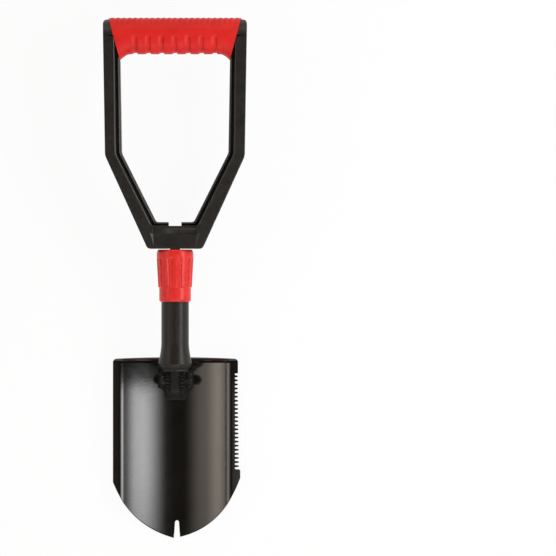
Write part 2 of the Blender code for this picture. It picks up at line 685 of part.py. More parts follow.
def grip_sleeve():
    """The red grip: a tube of rounded rings from arm to arm, bored for the handle's top bar."""
    bm = bmesh.new()
    bmesh.ops.create_grid(bm, x_segments=GRIP_STATIONS, y_segments=GRIP_RING, size=1)
    for vert in bm.verts:
        along, around = vert.co.x, math.pi * (1 + vert.co.y)
        under = grip_underside(along * GRIP_TIP_HALF)
        middle, half = (GRIP_TOP_Y + under) / 2, (GRIP_TOP_Y - under) / 2
        wave = (math.cos(around), math.sin(around))
        round_off = [math.copysign(abs(w) ** (2 / GRIP_SQUARENESS), w) for w in wave]
        y = middle + half * round_off[1]
        vert.co = (along * (grip_edge(y) - FIT), y, HANDLE_HALF * round_off[0])
    bmesh.ops.remove_doubles(bm, verts=bm.verts, dist=0.000001)
    open_edges = [edge for edge in bm.edges if edge.is_boundary]
    bmesh.ops.holes_fill(bm, edges=open_edges, sides=0)
    grip = mesh_object("grip_sleeve", bm)
    cut(grip, bar_across("core_room", GRIP_CORE_R + FIT, -ARM_TOP_HALF, ARM_TOP_HALF, GRIP_CORE_Y))
    hang(grip, HANDLE_HINGE, GRIP_RED)


def handle_pivot():
    """The handle's bolt, nut and washers, and the friction washers beside the tongue."""
    seat = BOLT_SEAT_X + FIT
    clamp = seat + WASHER_THICK + FIT
    tail = clamp + HANDLE_NUT_LENGTH + BOLT_TAIL
    bolt = bar_across("handle_pivot_bolt", HANDLE_BOLT_R, -clamp - JOIN_OVERLAP, tail)
    join(bolt, bar_across("head", HANDLE_HEAD_R, -clamp - HANDLE_HEAD_LENGTH, -clamp))
    hang(bolt, HANDLE_HINGE, STEEL)
    nut = bar_across("handle_pivot_nut", HANDLE_NUT_R, clamp, clamp + HANDLE_NUT_LENGTH, 0, 6)
    cut(nut, bar_across("bore", HANDLE_BOLT_R + FIT, 0, CUT_REACH))
    hang(nut, HANDLE_HINGE, STEEL)
    bore = HANDLE_BOLT_R + FIT
    for name, low, high in (("handle_washer_left", -seat - WASHER_THICK, -seat),
                            ("handle_washer_right", seat, seat + WASHER_THICK)):
        hang(ring_across(name, bore, HANDLE_WASHER_R, low, high), HANDLE_HINGE, STEEL)
    inner = HANDLE_TONGUE / 2 + FIT
    outer = inner + FRICTION_WASHER_THICK
    for name, low, high in (("friction_washer_left", -outer, -inner),
                            ("friction_washer_right", inner, outer)):
        hang(ring_across(name, bore, FRICTION_WASHER_R, low, high), HANDLE_HINGE, WHITE_BUSH)


# Blade and its hinge

def dish_height(x):
    """Height of the scoop's face across the blade: a round dish between two flat flanges."""
    if abs(x) >= CREASE_HALF:
        return FLANGE_Z
    return DISH_Z + DISH_R - math.sqrt(DISH_R ** 2 - x * x)


def lengthwise_height(y):
    """What the rolled heel and the lifted toe add to that height along the blade."""
    roll_start = BLADE_TOP_Y - ROLL_WIDTH
    if y > roll_start:
        return math.sqrt(ROLL_R ** 2 - (y - roll_start) ** 2) - ROLL_R
    if y < TOE_START_Y:
        return TOE_LIFT * ((TOE_START_Y - y) / (TOE_START_Y - BLADE_TIP_Y)) ** 2
    return 0.0


def blade_stations():
    """Where the pressed sheet has its rows: across the blade, and from the heel to the toe."""
    edge = EAR_HALF + 2 * MM
    across = [-edge, *(CREASE_HALF * (2 * i / DISH_STEPS - 1) for i in range(DISH_STEPS + 1)), edge]
    roll_start = BLADE_TOP_Y - ROLL_WIDTH
    heel_reach = (ROLL_WIDTH + ROLL_R) / 2
    heel = [roll_start + heel_reach * math.sin(math.pi * i / 12) for i in range(6, 0, -1)]
    toe_end = BLADE_TIP_Y - 2 * MM
    toe = [TOE_START_Y + (toe_end - TOE_START_Y) * i / 8 for i in range(9)]
    return across, [*heel, roll_start, *toe]


def blade_outline():
    """The blade from the front: heel, curved left side, notched tip, ear and saw teeth."""
    heel_end = BLADE_TOP_Y - BLADE_TOP_DIP
    top = [BLADE_HALF - CORNER_ROUND - 2 * (BLADE_HALF - CORNER_ROUND) * i / 8 for i in range(9)]
    heel = [(x, BLADE_TOP_Y - BLADE_TOP_DIP * (x / BLADE_HALF) ** 2) for x in top]
    left_corner = corner((0, heel_end), (-BLADE_HALF, heel_end), (-BLADE_HALF, LEFT_SHOULDER_Y),
                         CORNER_ROUND)
    mouth = NOTCH_MOUTH_WIDTH / 2
    left_tip = (NOTCH_X - mouth, BLADE_TIP_Y)
    right_tip = (NOTCH_X + mouth, TIP_RIGHT_Y)
    left = bent((-BLADE_HALF, LEFT_SHOULDER_Y), (-LEFT_PULL_HALF, LEFT_PULL_Y), left_tip, CURVE_STEPS)
    right = bent(right_tip, (RIGHT_PULL_HALF, RIGHT_PULL_Y), (EAR_HALF, EAR_END_Y), CURVE_STEPS)
    neck_r = NOTCH_TOP_WIDTH / 2
    notch = arc((NOTCH_X, NOTCH_TOP_Y - neck_r), neck_r, 180, 0, 8)
    saw_end = SAW_TOP_Y - SAW_TEETH * SAW_PITCH
    root = BLADE_HALF - SAW_DEPTH
    saw = [(EAR_HALF, EAR_TOP_Y), (root, saw_end)]
    for i in range(SAW_TEETH):
        y = saw_end + i * SAW_PITCH
        saw += [(BLADE_HALF, y + SAW_PITCH / 2), (root, y + SAW_PITCH)]
    saw += [(BLADE_HALF, SAW_TOP_Y + SAW_PITCH / 2)]
    right_corner = corner((BLADE_HALF, SAW_TOP_Y), (BLADE_HALF, heel_end), (0, heel_end), CORNER_ROUND)
    return [*heel[1:-1], *left_corner, *left, *notch, *right, *saw, *right_corner]


def rivet_places():
    near = BLADE_PIN_Y + BASE_TOWARDS_SLEEVE - RIVET_INSET
    far = BLADE_PIN_Y - BASE_WING_TOWARDS_TIP + RIVET_INSET
    return [(x, y) for y in (near, far) for x in (-RIVET_X, RIVET_X)]


def upright(name, profile, place):
    """Turn (radius, height) points about an upright line at an (x, y) place."""
    obj = turned(name, profile, 20)
    obj.data.transform(Matrix.Translation((*place, 0)) @ Matrix.Rotation(math.pi / 2, 4, "X"))
    return obj


def rivet_hole(place):
    radius = RIVET_R + FIT
    return upright("rivet_hole", [(0, 0), (radius, 0), (radius, -CUT_REACH), (0, -CUT_REACH)], place)


def blade():
    """The pressed steel blade: one bent sheet, trimmed to its outline and drilled for the rivets."""
    across, along = blade_stations()
    columns, rows = len(across) - 1, len(along) - 1
    bm = bmesh.new()
    bmesh.ops.create_grid(bm, x_segments=columns, y_segments=rows, size=0.5)
    for vert in bm.verts:
        x = across[round((vert.co.x + 0.5) * columns)]
        y = along[round((0.5 - vert.co.y) * rows)]
        vert.co = (x, y, dish_height(x) + lengthwise_height(y))
    sheet = mesh_object("blade", bm)
    if sheet.data.polygons[0].normal.z < 0:
        sheet.data.flip_normals()
    wall = sheet.modifiers.new("wall", "SOLIDIFY")
    wall.thickness = BLADE_THICK
    wall.offset = -1
    settle(sheet)
    keep_inside(sheet, plate("outline", blade_outline(), FLANGE_Z - CUT_REACH, 0))
    for place in rivet_places():
        cut(sheet, rivet_hole(place))
    hang(sheet, BLADE_HINGE, BLADE_BLACK)
    return sheet


def cheek_outline():
    """A toothed cheek from the side: a gear on a waisted leg, which clears the folded sleeve's flare."""
    foot_z = DISH_Z + FIT + BASE_THICK - JOIN_OVERLAP
    outline = [(BLADE_PIN_Y - CHEEK_FOOT_BACK, foot_z), (BLADE_PIN_Y + CHEEK_FOOT_FRONT, foot_z)]
    pitch = 2 * math.pi / GEAR_TEETH
    root = GEAR_R - GEAR_TOOTH_HEIGHT
    for tooth in range(GEAR_FIRST_TOOTH, GEAR_LAST_TOOTH + 1):
        for share, radius in ((-0.38, root), (-0.2, GEAR_R), (0.2, GEAR_R), (0.38, root)):
            angle = (tooth + share) * pitch
            outline.append((BLADE_PIN_Y + radius * math.cos(angle), radius * math.sin(angle)))
    outline.append((BLADE_PIN_Y - CHEEK_WAIST_BACK, -CHEEK_WAIST_DROP))
    return outline


def hinge_bracket():
    """The two toothed cheeks on one base, wide at the rivets, which is bent to the scoop's face."""
    low_y, high_y = BLADE_PIN_Y - BASE_TOWARDS_TIP, BLADE_PIN_Y + BASE_TOWARDS_SLEEVE
    wing_y = BLADE_PIN_Y - BASE_WING_TOWARDS_TIP
    right = [(BASE_TOE_HALF, low_y), (BASE_FOOT_HALF, wing_y), (BASE_HALF, wing_y + BASE_WING_SLANT),
             (BASE_HALF, high_y)]
    left = [(-x, y) for x, y in reversed(right)]
    bracket = plate("hinge_bracket", [*right, *left], DISH_Z - BASE_THICK, DISH_Z + FIT + BASE_THICK)
    for side in (1, -1):
        faces = sorted((side * CHEEK_IN, side * CHEEK_OUT))
        join(bracket, plate("cheek", cheek_outline(), faces[0], faces[1], across=True))
    scoop_r = DISH_R - FIT
    scoop_y = BASE_TOWARDS_TIP + BASE_TOWARDS_SLEEVE
    floor = arc((0, DISH_Z + DISH_R), scoop_r, 255, 285, 30)
    rim = scoop_r / 2
    scoop = plate("scoop", [*floor, (rim, DISH_R), (-rim, DISH_R)], -scoop_y, scoop_y)
    stand = Matrix.Translation((0, BLADE_PIN_Y, 0)) @ Matrix.Rotation(math.pi / 2, 4, "X")
    scoop.data.transform(stand)
    keep_inside(bracket, scoop)
    cut(bracket, bar_across("pin_hole", BLADE_BOLT_R + FIT, -CUT_REACH, CUT_REACH, BLADE_PIN_Y))
    for place in rivet_places():
        cut(bracket, rivet_hole(place))
    hang(bracket, BLADE_HINGE, HINGE_BLACK)


def rivets():
    top = DISH_Z + FIT + BASE_THICK + FIT
    slant = math.hypot(RIVET_X, RIVET_HEAD_R) / DISH_R * RIVET_HEAD_R
    under = dish_height(RIVET_X) - BLADE_THICK - slant - FIT
    profile = [
        (0, top + RIVET_HEAD), (RIVET_HEAD_R / 2, top + RIVET_HEAD), (RIVET_HEAD_R, top + RIVET_HEAD / 3),
        (RIVET_HEAD_R, top), (RIVET_R, top), (RIVET_R, under), (RIVET_HEAD_R, under),
        (RIVET_HEAD_R, under - RIVET_HEAD / 3), (RIVET_HEAD_R / 2, under - RIVET_HEAD),
        (0, under - RIVET_HEAD),
    ]
    names = ("rivet_upper_left", "rivet_upper_right", "rivet_lower_left", "rivet_lower_right")
    for name, place in zip(names, rivet_places()):
        hang(upright(name, profile, place), BLADE_HINGE, HINGE_BLACK)


def blade_pivot():
    """The blade's bolt, nut and washers."""
    seat = CHEEK_OUT + FIT
    clamp = seat + WASHER_THICK + FIT
    tail = clamp + BLADE_NUT_LENGTH + BOLT_TAIL
    bolt = bar_across("blade_pivot_bolt", BLADE_BOLT_R, -clamp - JOIN_OVERLAP, tail, BLADE_PIN_Y)
    join(bolt, bar_across("head", BLADE_HEAD_R, -clamp - BLADE_HEAD_LENGTH, -clamp, BLADE_PIN_Y))
    hang(bolt, BLADE_HINGE, STEEL)
    nut = bar_across("blade_pivot_nut", BLADE_NUT_R, clamp, clamp + BLADE_NUT_LENGTH, BLADE_PIN_Y, 6)
    cut(nut, bar_across("bore", BLADE_BOLT_R + FIT, 0, CUT_REACH, BLADE_PIN_Y))
    hang(nut, BLADE_HINGE, STEEL)
    bore = BLADE_BOLT_R + FIT
    for name, low, high in (("blade_washer_left", -seat - WASHER_THICK, -seat),
                            ("blade_washer_right", seat, seat + WASHER_THICK)):
        hang(ring_across(name, bore, BLADE_WASHER_R, low, high, BLADE_PIN_Y), BLADE_HINGE, STEEL)


def lay_down(heel_piece):
    """Tilt the tool until it rests on the blade's heel and the arms' round tops, then centre it."""
    corners = [BLADE_HINGE.location + vert.co for vert in heel_piece.data.vertices]
    heel = min(corners, key=lambda point: point.z)
    reach = Vector((ARM_END_Y - heel.y, -heel.z))
    lie = math.atan2(reach.y, reach.x) - math.asin(HANDLE_HALF / reach.length)
    TOOL.rotation_euler.x = lie
    bpy.context.view_layer.update()
    points = []
    for obj in PARTS.objects:
        if obj.type == "MESH":
            points += [obj.matrix_world @ vert.co for vert in obj.data.vertices]
    middle_y = (min(point.y for point in points) + max(point.y for point in points)) / 2
    TOOL.location = (0, -middle_y, -min(point.z for point in points))
    bpy.context.view_layer.update()
    print("lie angle", round(math.degrees(lie), 4), "degrees")
    for carrier in (HANDLE_HINGE, BLADE_HINGE):
        print(carrier.name, [round(value, 6) for value in carrier.matrix_world.translation])
    print("shaft direction", [round(value, 6) for value in TOOL.matrix_world.col[1][:3]])


core_tube()
handle_eye()
blade_eye()
shaft_small_pieces()
shaft_sleeve()
lock_collar()
handle_frame()
grip_sleeve()
handle_pivot()
hinge_bracket()
rivets()
blade_pivot()
lay_down(blade())
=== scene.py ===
# %% [markdown]
# # A folding camp shovel
# The shovel lies opened out on its back, as it would on a table before it is packed away. Every solid of
# it already exists at its real size in the frame, with its hinges, so this lesson only makes what the eye
# sees: mouldings with soft edges, a pressed and coated blade, and the finishes.

# %% Load the frame
import json
import math

import bmesh
import bpy
from mathutils import Matrix, Vector


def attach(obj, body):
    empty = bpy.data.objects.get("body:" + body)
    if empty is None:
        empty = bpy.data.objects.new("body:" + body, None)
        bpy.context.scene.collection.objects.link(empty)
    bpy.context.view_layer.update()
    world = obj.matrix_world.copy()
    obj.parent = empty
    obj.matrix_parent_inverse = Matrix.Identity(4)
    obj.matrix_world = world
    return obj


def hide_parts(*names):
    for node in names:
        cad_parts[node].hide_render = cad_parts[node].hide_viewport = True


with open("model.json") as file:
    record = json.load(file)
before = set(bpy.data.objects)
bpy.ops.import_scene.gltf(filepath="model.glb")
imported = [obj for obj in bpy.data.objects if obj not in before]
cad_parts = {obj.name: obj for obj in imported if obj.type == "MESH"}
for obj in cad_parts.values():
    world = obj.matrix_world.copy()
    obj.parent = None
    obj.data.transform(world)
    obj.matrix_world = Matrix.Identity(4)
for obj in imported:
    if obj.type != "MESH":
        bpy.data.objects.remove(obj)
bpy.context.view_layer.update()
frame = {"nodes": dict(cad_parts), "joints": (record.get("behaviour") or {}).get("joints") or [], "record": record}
scene = bpy.context.scene

# %% [markdown]
# The shovel is easiest to draw in its own upright frame: X across the blade, Y along the shaft towards the
# grip and Z out of the scoop, in millimetres, with the handle's pivot at the origin. One matrix then lays
# a finished mesh down where the frame has it. Reading that matrix from two joints keeps the looks and the
# mechanism together.

# %% The tool's own frame
MM = 0.001
joints = {joint["name"]: joint for joint in frame["joints"]}
pivot = Vector(joints["handle_fold"]["pos_m"])
shaft_up = Vector(joints["collar_turn"]["axis"])
LIE = math.atan2(shaft_up.z, shaft_up.y)
TOOL_TO_WORLD = Matrix.Translation(pivot) @ Matrix.Rotation(LIE, 4, "X") @ Matrix.Scale(MM, 4)
print("the shovel leans", round(math.degrees(LIE), 2), "degrees on its heel")

# %% [markdown]
# The photograph looks at the scoop straight on, with hardly any perspective. A long lens far away gives
# that. The camera aims at the middle of the picture, which lies to the right of the shaft, so the shovel
# falls at the left as in the photograph.

# %% Camera
PHOTO_SIZE = 556
MM_PER_PIXEL = 1.147
PIVOT_PIXEL = (175.1, 234.7)
CAMERA_DISTANCE = 6000
SENSOR_WIDTH = 36

aim = Vector(((PHOTO_SIZE / 2 - PIVOT_PIXEL[0]) * MM_PER_PIXEL,
              (PIVOT_PIXEL[1] - PHOTO_SIZE / 2) * MM_PER_PIXEL,
              CAMERA_DISTANCE))
lens = bpy.data.cameras.new("front_camera")
lens.sensor_width = SENSOR_WIDTH
lens.lens = SENSOR_WIDTH * CAMERA_DISTANCE / (PHOTO_SIZE * MM_PER_PIXEL)
camera = bpy.data.objects.new("front_camera", lens)
scene.collection.objects.link(camera)
camera.matrix_world = Matrix.Translation(TOOL_TO_WORLD @ aim) @ Matrix.Rotation(LIE, 4, "X")
scene.camera = camera
print("camera lens", round(lens.lens), "mm")

# %% [markdown]
# A node material is a chain of small steps, and most finishes here share three of them: a fine grain that
# tilts the surface, a slow drift of the colour, and a drift of the roughness. These helpers make one step
# each. They all read Object coordinates, so the grain has the same size on every piece.

# %% Material helpers
NOISE_SPAN = (0.3, 0.7)


def new_finish(name, roughness, metallic=0.0, specular=0.5):
    """A node material with its Principled shader and its object coordinates."""
    finish = bpy.data.materials.new(name)
    finish.use_nodes = True
    nodes = finish.node_tree.nodes
    shader = nodes["Principled BSDF"]
    shader.inputs["Roughness"].default_value = roughness
    shader.inputs["Metallic"].default_value = metallic
    shader.inputs["Specular IOR Level"].default_value = specular
    place = nodes.new("ShaderNodeTexCoord")
    return finish, shader, place.outputs["Object"]


def noise(finish, place, size_mm, detail=2.0, stretch=(1, 1, 1)):
    """Cloudy noise whose blobs are about size_mm across."""
    nodes, links = finish.node_tree.nodes, finish.node_tree.links
    mapping = nodes.new("ShaderNodeMapping")
    mapping.inputs["Scale"].default_value = stretch
    links.new(place, mapping.inputs["Vector"])
    cloud = nodes.new("ShaderNodeTexNoise")
    cloud.inputs["Scale"].default_value = 1 / (size_mm * MM)
    cloud.inputs["Detail"].default_value = detail
    links.new(mapping.outputs["Vector"], cloud.inputs["Vector"])
    return cloud.outputs["Fac"]


def tint(finish, shader, source, dark, light):
    """Let the base colour drift between two tones."""
    ramp = finish.node_tree.nodes.new("ShaderNodeValToRGB")
    for stop, place, colour in zip(ramp.color_ramp.elements, NOISE_SPAN, (dark, light)):
        stop.position = place
        stop.color = (*colour, 1)
    finish.node_tree.links.new(source, ramp.inputs["Fac"])
    finish.node_tree.links.new(ramp.outputs["Color"], shader.inputs["Base Color"])


def vary_roughness(finish, shader, source, low, high):
    """Let the roughness drift between two levels."""
    spread = finish.node_tree.nodes.new("ShaderNodeMapRange")
    spread.inputs["From Min"].default_value = NOISE_SPAN[0]
    spread.inputs["From Max"].default_value = NOISE_SPAN[1]
    spread.inputs["To Min"].default_value = low
    spread.inputs["To Max"].default_value = high
    finish.node_tree.links.new(source, spread.inputs["Value"])
    finish.node_tree.links.new(spread.outputs["Result"], shader.inputs["Roughness"])


def grain(finish, shader, source, depth_mm):
    """Tilt the surface by a height map that is depth_mm deep."""
    bump = finish.node_tree.nodes.new("ShaderNodeBump")
    bump.inputs["Distance"].default_value = depth_mm * MM
    bump.inputs["Strength"].default_value = 1.0
    finish.node_tree.links.new(source, bump.inputs["Height"])
    finish.node_tree.links.new(bump.outputs["Normal"], shader.inputs["Normal"])


print("material helpers ready")

# %% [markdown]
# The handle is moulded from black glass-filled nylon. Such plastic is matt, slightly brown under warm
# light, and the mould leaves a fine spark-eroded grain on it. The two reds are softer: the grip is a satin
# rubber-like plastic, and the collar is a little glossier.

# %% Plastic finishes
PLASTIC_COLOUR_MM = 14
PLASTIC_GLOSS_MM = 5


def moulded(name, dark, light, roughness, grain_mm, grain_depth, specular=0.5):
    """A moulded plastic: two close tones, a drift of gloss and the grain of its mould."""
    finish, shader, place = new_finish(name, roughness[0], specular=specular)
    tint(finish, shader, noise(finish, place, PLASTIC_COLOUR_MM, detail=3), dark, light)
    vary_roughness(finish, shader, noise(finish, place, PLASTIC_GLOSS_MM), *roughness)
    grain(finish, shader, noise(finish, place, grain_mm, detail=3), grain_depth)
    return finish


BLACK_PLASTIC = moulded("black_plastic", (0.0135, 0.012, 0.0102), (0.02, 0.0178, 0.015),
                        roughness=(0.34, 0.44), grain_mm=0.5, grain_depth=0.02, specular=0.4)
SLEEVE_BLACK = moulded("sleeve_black", (0.012, 0.0095, 0.0072), (0.017, 0.0135, 0.0105),
                       roughness=(0.3, 0.38), grain_mm=0.6, grain_depth=0.012, specular=0.24)
GRIP_RED = moulded("grip_red", (0.65, 0.014, 0.011), (0.75, 0.019, 0.015),
                   roughness=(0.45, 0.55), grain_mm=0.7, grain_depth=0.02, specular=0.25)
COLLAR_RED = moulded("collar_red", (0.65, 0.023, 0.019), (0.71, 0.029, 0.024),
                     roughness=(0.25, 0.31), grain_mm=1.5, grain_depth=0.008, specular=0.25)
BUSH_PLASTIC = moulded("bush_plastic", (0.52, 0.5, 0.43), (0.62, 0.6, 0.53),
                       roughness=(0.4, 0.5), grain_mm=0.6, grain_depth=0.02)
print("plastics: handle black, sleeve black, grip red, collar red, bush")

# %% [markdown]
# The blade is steel under a baked black coating. A coating that dries on a flat sheet is never quite flat:
# it has a faint orange-peel swell some millimetres wide, which makes long reflections waver. The hinge has
# the same coating in satin. Bolts are dark zinc, and the tube inside is plain drawn aluminium.

# %% Metal finishes
COAT_COLOUR_MM = 22
COAT_GLOSS_MM = 9
ORANGE_PEEL_MM = 2.4
ORANGE_PEEL_DEPTH = 0.012
METAL_COLOUR_MM = 6
BRUSH_MM = 0.9
BRUSH_DEPTH = 0.008


def coated(name, dark, light, roughness, specular):
    """A baked coating: nearly even in colour, with the faint swell of orange peel."""
    finish, shader, place = new_finish(name, roughness[0], specular=specular)
    tint(finish, shader, noise(finish, place, COAT_COLOUR_MM, detail=3), dark, light)
    vary_roughness(finish, shader, noise(finish, place, COAT_GLOSS_MM, detail=4), *roughness)
    grain(finish, shader, noise(finish, place, ORANGE_PEEL_MM), ORANGE_PEEL_DEPTH)
    return finish


def bare_metal(name, dark, light, roughness, stretch):
    """A bare metal whose brush marks are the noise, stretched along the way it was drawn or turned."""
    finish, shader, place = new_finish(name, roughness[0], metallic=1.0)
    brush = noise(finish, place, BRUSH_MM, 4, stretch)
    tint(finish, shader, noise(finish, place, METAL_COLOUR_MM, detail=3), dark, light)
    vary_roughness(finish, shader, brush, *roughness)
    grain(finish, shader, brush, BRUSH_DEPTH)
    return finish


BLADE_BLACK = coated("blade_black", (0.0055, 0.0046, 0.0037), (0.0085, 0.0074, 0.0061),
                     roughness=(0.07, 0.1), specular=0.75)
HINGE_BLACK = coated("hinge_black", (0.006, 0.0055, 0.005), (0.0095, 0.0088, 0.008),
                     roughness=(0.48, 0.6), specular=0.2)
DARK_ZINC = bare_metal("dark_zinc", (0.022, 0.021, 0.02), (0.034, 0.033, 0.031),
                       roughness=(0.34, 0.46), stretch=(1, 0.2, 0.2))
ALUMINIUM = bare_metal("aluminium", (0.55, 0.55, 0.57), (0.64, 0.64, 0.66),
                       roughness=(0.32, 0.45), stretch=(0.15, 1, 0.15))
print("metals: blade black, hinge black, dark zinc, aluminium")

# %% [markdown]
# Most pieces start as an outline that is pulled up into a prism, or as a profile that is spun about the
# shaft. Five helpers make these raw shapes with bmesh operators: a prism, a prism that tapers, a block, a
# bar along X and a turned body.

# %% Raw shapes
ACROSS = Matrix(((0, 0, 1, 0), (1, 0, 0, 0), (0, 1, 0, 0), (0, 0, 0, 1)))
REACH = 60
ROD_SIDES = 64
SPIN_MERGE = 0.0005


def prism(outline, low, high, across=False):
    """Pull (x, y) points up along Z, or (y, z) points along X where across is set."""
    bm = bmesh.new()
    face = bm.faces.new([bm.verts.new((u, v, low)) for u, v in outline])
    pulled = bmesh.ops.extrude_face_region(bm, geom=[face], use_keep_orig=True)
    top = [item for item in pulled["geom"] if isinstance(item, bmesh.types.BMVert)]
    bmesh.ops.translate(bm, verts=top, vec=(0, 0, high - low))
    if across:
        bmesh.ops.transform(bm, matrix=ACROSS, verts=bm.verts)
    bmesh.ops.recalc_face_normals(bm, faces=bm.faces)
    return bm


def tapered(low_outline, low, high_outline, high):
    """A prism whose outline changes on the way up, by a bridge between its two end faces."""
    bm = bmesh.new()
    for outline, z in ((low_outline, low), (high_outline, high)):
        bm.faces.new([bm.verts.new((x, y, z)) for x, y in outline])
    bmesh.ops.bridge_loops(bm, edges=bm.edges[:])
    bmesh.ops.recalc_face_normals(bm, faces=bm.faces)
    return bm


def block(low, high):
    """A box between two corners."""
    low = Vector(low)
    size = Vector(high) - low
    bm = bmesh.new()
    bmesh.ops.create_cube(bm, size=1)
    place = Matrix.Translation(low + size / 2) @ Matrix.Diagonal((*size, 1))
    bmesh.ops.transform(bm, matrix=place, verts=bm.verts)
    return bm


def rod(radius, x_low, x_high, y=0.0, sides=ROD_SIDES):
    """A bar along X, round or with few sides."""
    bm = bmesh.new()
    bmesh.ops.create_cone(bm, cap_ends=True, segments=sides, radius1=radius, radius2=radius,
                          depth=x_high - x_low)
    place = Matrix.Translation(((x_low + x_high) / 2, y, 0)) @ Matrix.Rotation(math.pi / 2, 4, "Y")
    bmesh.ops.transform(bm, matrix=place, verts=bm.verts)
    return bm


def turned(profile, steps, closed=True):
    """Spin (radius, y) points about the shaft's axis."""
    bm = bmesh.new()
    points = [bm.verts.new((radius, y, 0)) for radius, y in profile]
    pairs = list(zip(points, points[1:]))
    if closed:
        pairs.append((points[-1], points[0]))
    edges = [bm.edges.new(pair) for pair in pairs]
    bmesh.ops.spin(bm, geom=points + edges, cent=(0, 0, 0), axis=(0, 1, 0), dvec=(0, 0, 0),
                   angle=2 * math.pi, steps=steps, use_merge=True, use_duplicate=False)
    bmesh.ops.remove_doubles(bm, verts=bm.verts, dist=SPIN_MERGE)
    bmesh.ops.recalc_face_normals(bm, faces=bm.faces)
    return bm


print("raw shapes: prism, tapered prism, block, rod, turned body")

# %% [markdown]
# Where shapes meet, a Boolean step joins or cuts them, as a mould maker joins and cuts the cavity. A Boolean
# needs objects, so a bmesh becomes a short-lived work object, is carved, and is lifted back as a bmesh. The
# lift merges points that lie on each other, since a Boolean leaves some behind.

# %% Carving
LIFT_MERGE = 0.01


def work_object(bm):
    """Put a bmesh in an object of its own, so that modifiers can work on it."""
    mesh = bpy.data.meshes.new("work")
    bm.to_mesh(mesh)
    bm.free()
    obj = bpy.data.objects.new("work", mesh)
    scene.collection.objects.link(obj)
    return obj


def evaluated(obj):
    """The mesh that an object's modifiers give."""
    bpy.context.view_layer.update()
    graph = bpy.context.evaluated_depsgraph_get()
    return bpy.data.meshes.new_from_object(obj.evaluated_get(graph))


def carve(target, tool, operation="DIFFERENCE"):
    """Cut, join or intersect a work object with a tool mesh, which is used up."""
    cutter = work_object(tool)
    step = target.modifiers.new("carve", "BOOLEAN")
    step.operation = operation
    step.object = cutter
    made = evaluated(target)
    target.modifiers.clear()
    target.data = made
    bpy.data.objects.remove(cutter)


def lift(target, merge=LIFT_MERGE):
    """Take the mesh of a work object back as a clean bmesh."""
    bm = bmesh.new()
    bm.from_mesh(target.data)
    bpy.data.objects.remove(target)
    bmesh.ops.remove_doubles(bm, verts=bm.verts, dist=merge)
    return bm


print("carving helpers ready")

# %% [markdown]
# A finished piece is seated: laid down in the frame, smoothed, given soft edges, and tied to the body it
# rides on. No moulded or cut edge is perfectly sharp, and a thin bevel that catches the light shows it. Only
# the edges that stick out are bevelled, by their weight, so inner corners stay as they were carved.

# %% Seating
OUTER_EDGE_ANGLE = 30


def mark_outer_edges(bm):
    """Give a bevel weight to the edges that stick out."""
    weight = bm.edges.layers.float.new("bevel_weight_edge")
    for edge in bm.edges:
        if edge.is_convex and edge.calc_face_angle(0) > math.radians(OUTER_EDGE_ANGLE):
            edge[weight] = 1


def seat(name, bm, finish, body, nodes, bevel=0.0, segments=2, smooth=30):
    """Lay a finished mesh down in the frame, tie it to the body it rides on, and hide the solids it replaces."""
    bmesh.ops.transform(bm, matrix=TOOL_TO_WORLD, verts=bm.verts)
    if bevel:
        mark_outer_edges(bm)
    mesh = bpy.data.meshes.new(name)
    bm.to_mesh(mesh)
    bm.free()
    mesh.materials.append(finish)
    mesh.shade_smooth()
    mesh.set_sharp_from_angle(angle=math.radians(smooth))
    piece = bpy.data.objects.new(name, mesh)
    scene.collection.objects.link(piece)
    if bevel:
        edge = piece.modifiers.new("soft_edges", "BEVEL")
        edge.width = bevel * MM
        edge.segments = segments
        edge.limit_method = "WEIGHT"
        edge.use_clamp_overlap = False
        edge.harden_normals = True
    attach(piece, body)
    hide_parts(*nodes)
    print(name, len(mesh.polygons), "faces")


print("a piece gets soft edges where faces meet at more than", OUTER_EDGE_ANGLE, "degrees")

# %% [markdown]
# Outlines are lists of points. These helpers draw their round parts: an arc of a circle, a curve pulled
# towards a point, a rounded corner, and the mirror image of a right half.

# %% Outline helpers
CORNER_STEPS = 12


def arc(centre, radius, start, end, count):
    """Points on a circle between two angles in degrees."""
    angles = [math.radians(start + (end - start) * i / count) for i in range(count + 1)]
    return [(centre[0] + radius * math.cos(a), centre[1] + radius * math.sin(a)) for a in angles]


def bent(start, pull, end, count):
    """Points on a curve from start to end, drawn towards the pull point."""
    start, pull, end = Vector(start), Vector(pull), Vector(end)
    steps = [i / count for i in range(count + 1)]
    return [tuple((1 - t) ** 2 * start + 2 * t * (1 - t) * pull + t * t * end) for t in steps]


def rounded(before, at, after, size):
    """The points that round off one corner, starting and ending a size away from it."""
    at = Vector(at)
    start = at + (Vector(before) - at).normalized() * size
    end = at + (Vector(after) - at).normalized() * size
    return bent(start, at, end, CORNER_STEPS)


def mirrored(right_side):
    """A whole outline from its right half."""
    return list(right_side) + [(-x, y) for x, y in reversed(right_side)]


print("outline helpers ready, with", CORNER_STEPS, "steps to a corner")

# %% [markdown]
# The D-handle is one moulding. Seen from the front it is an outline with two arms that run straight down
# from the grip, lean in to a crossbar and end there. Its section is what makes it stiff: a front rim, an
# inner flange set back behind a groove, and open channels with ribs along the outer sides. The outline is
# pulled up to the full depth first, and the rest is carved from it.

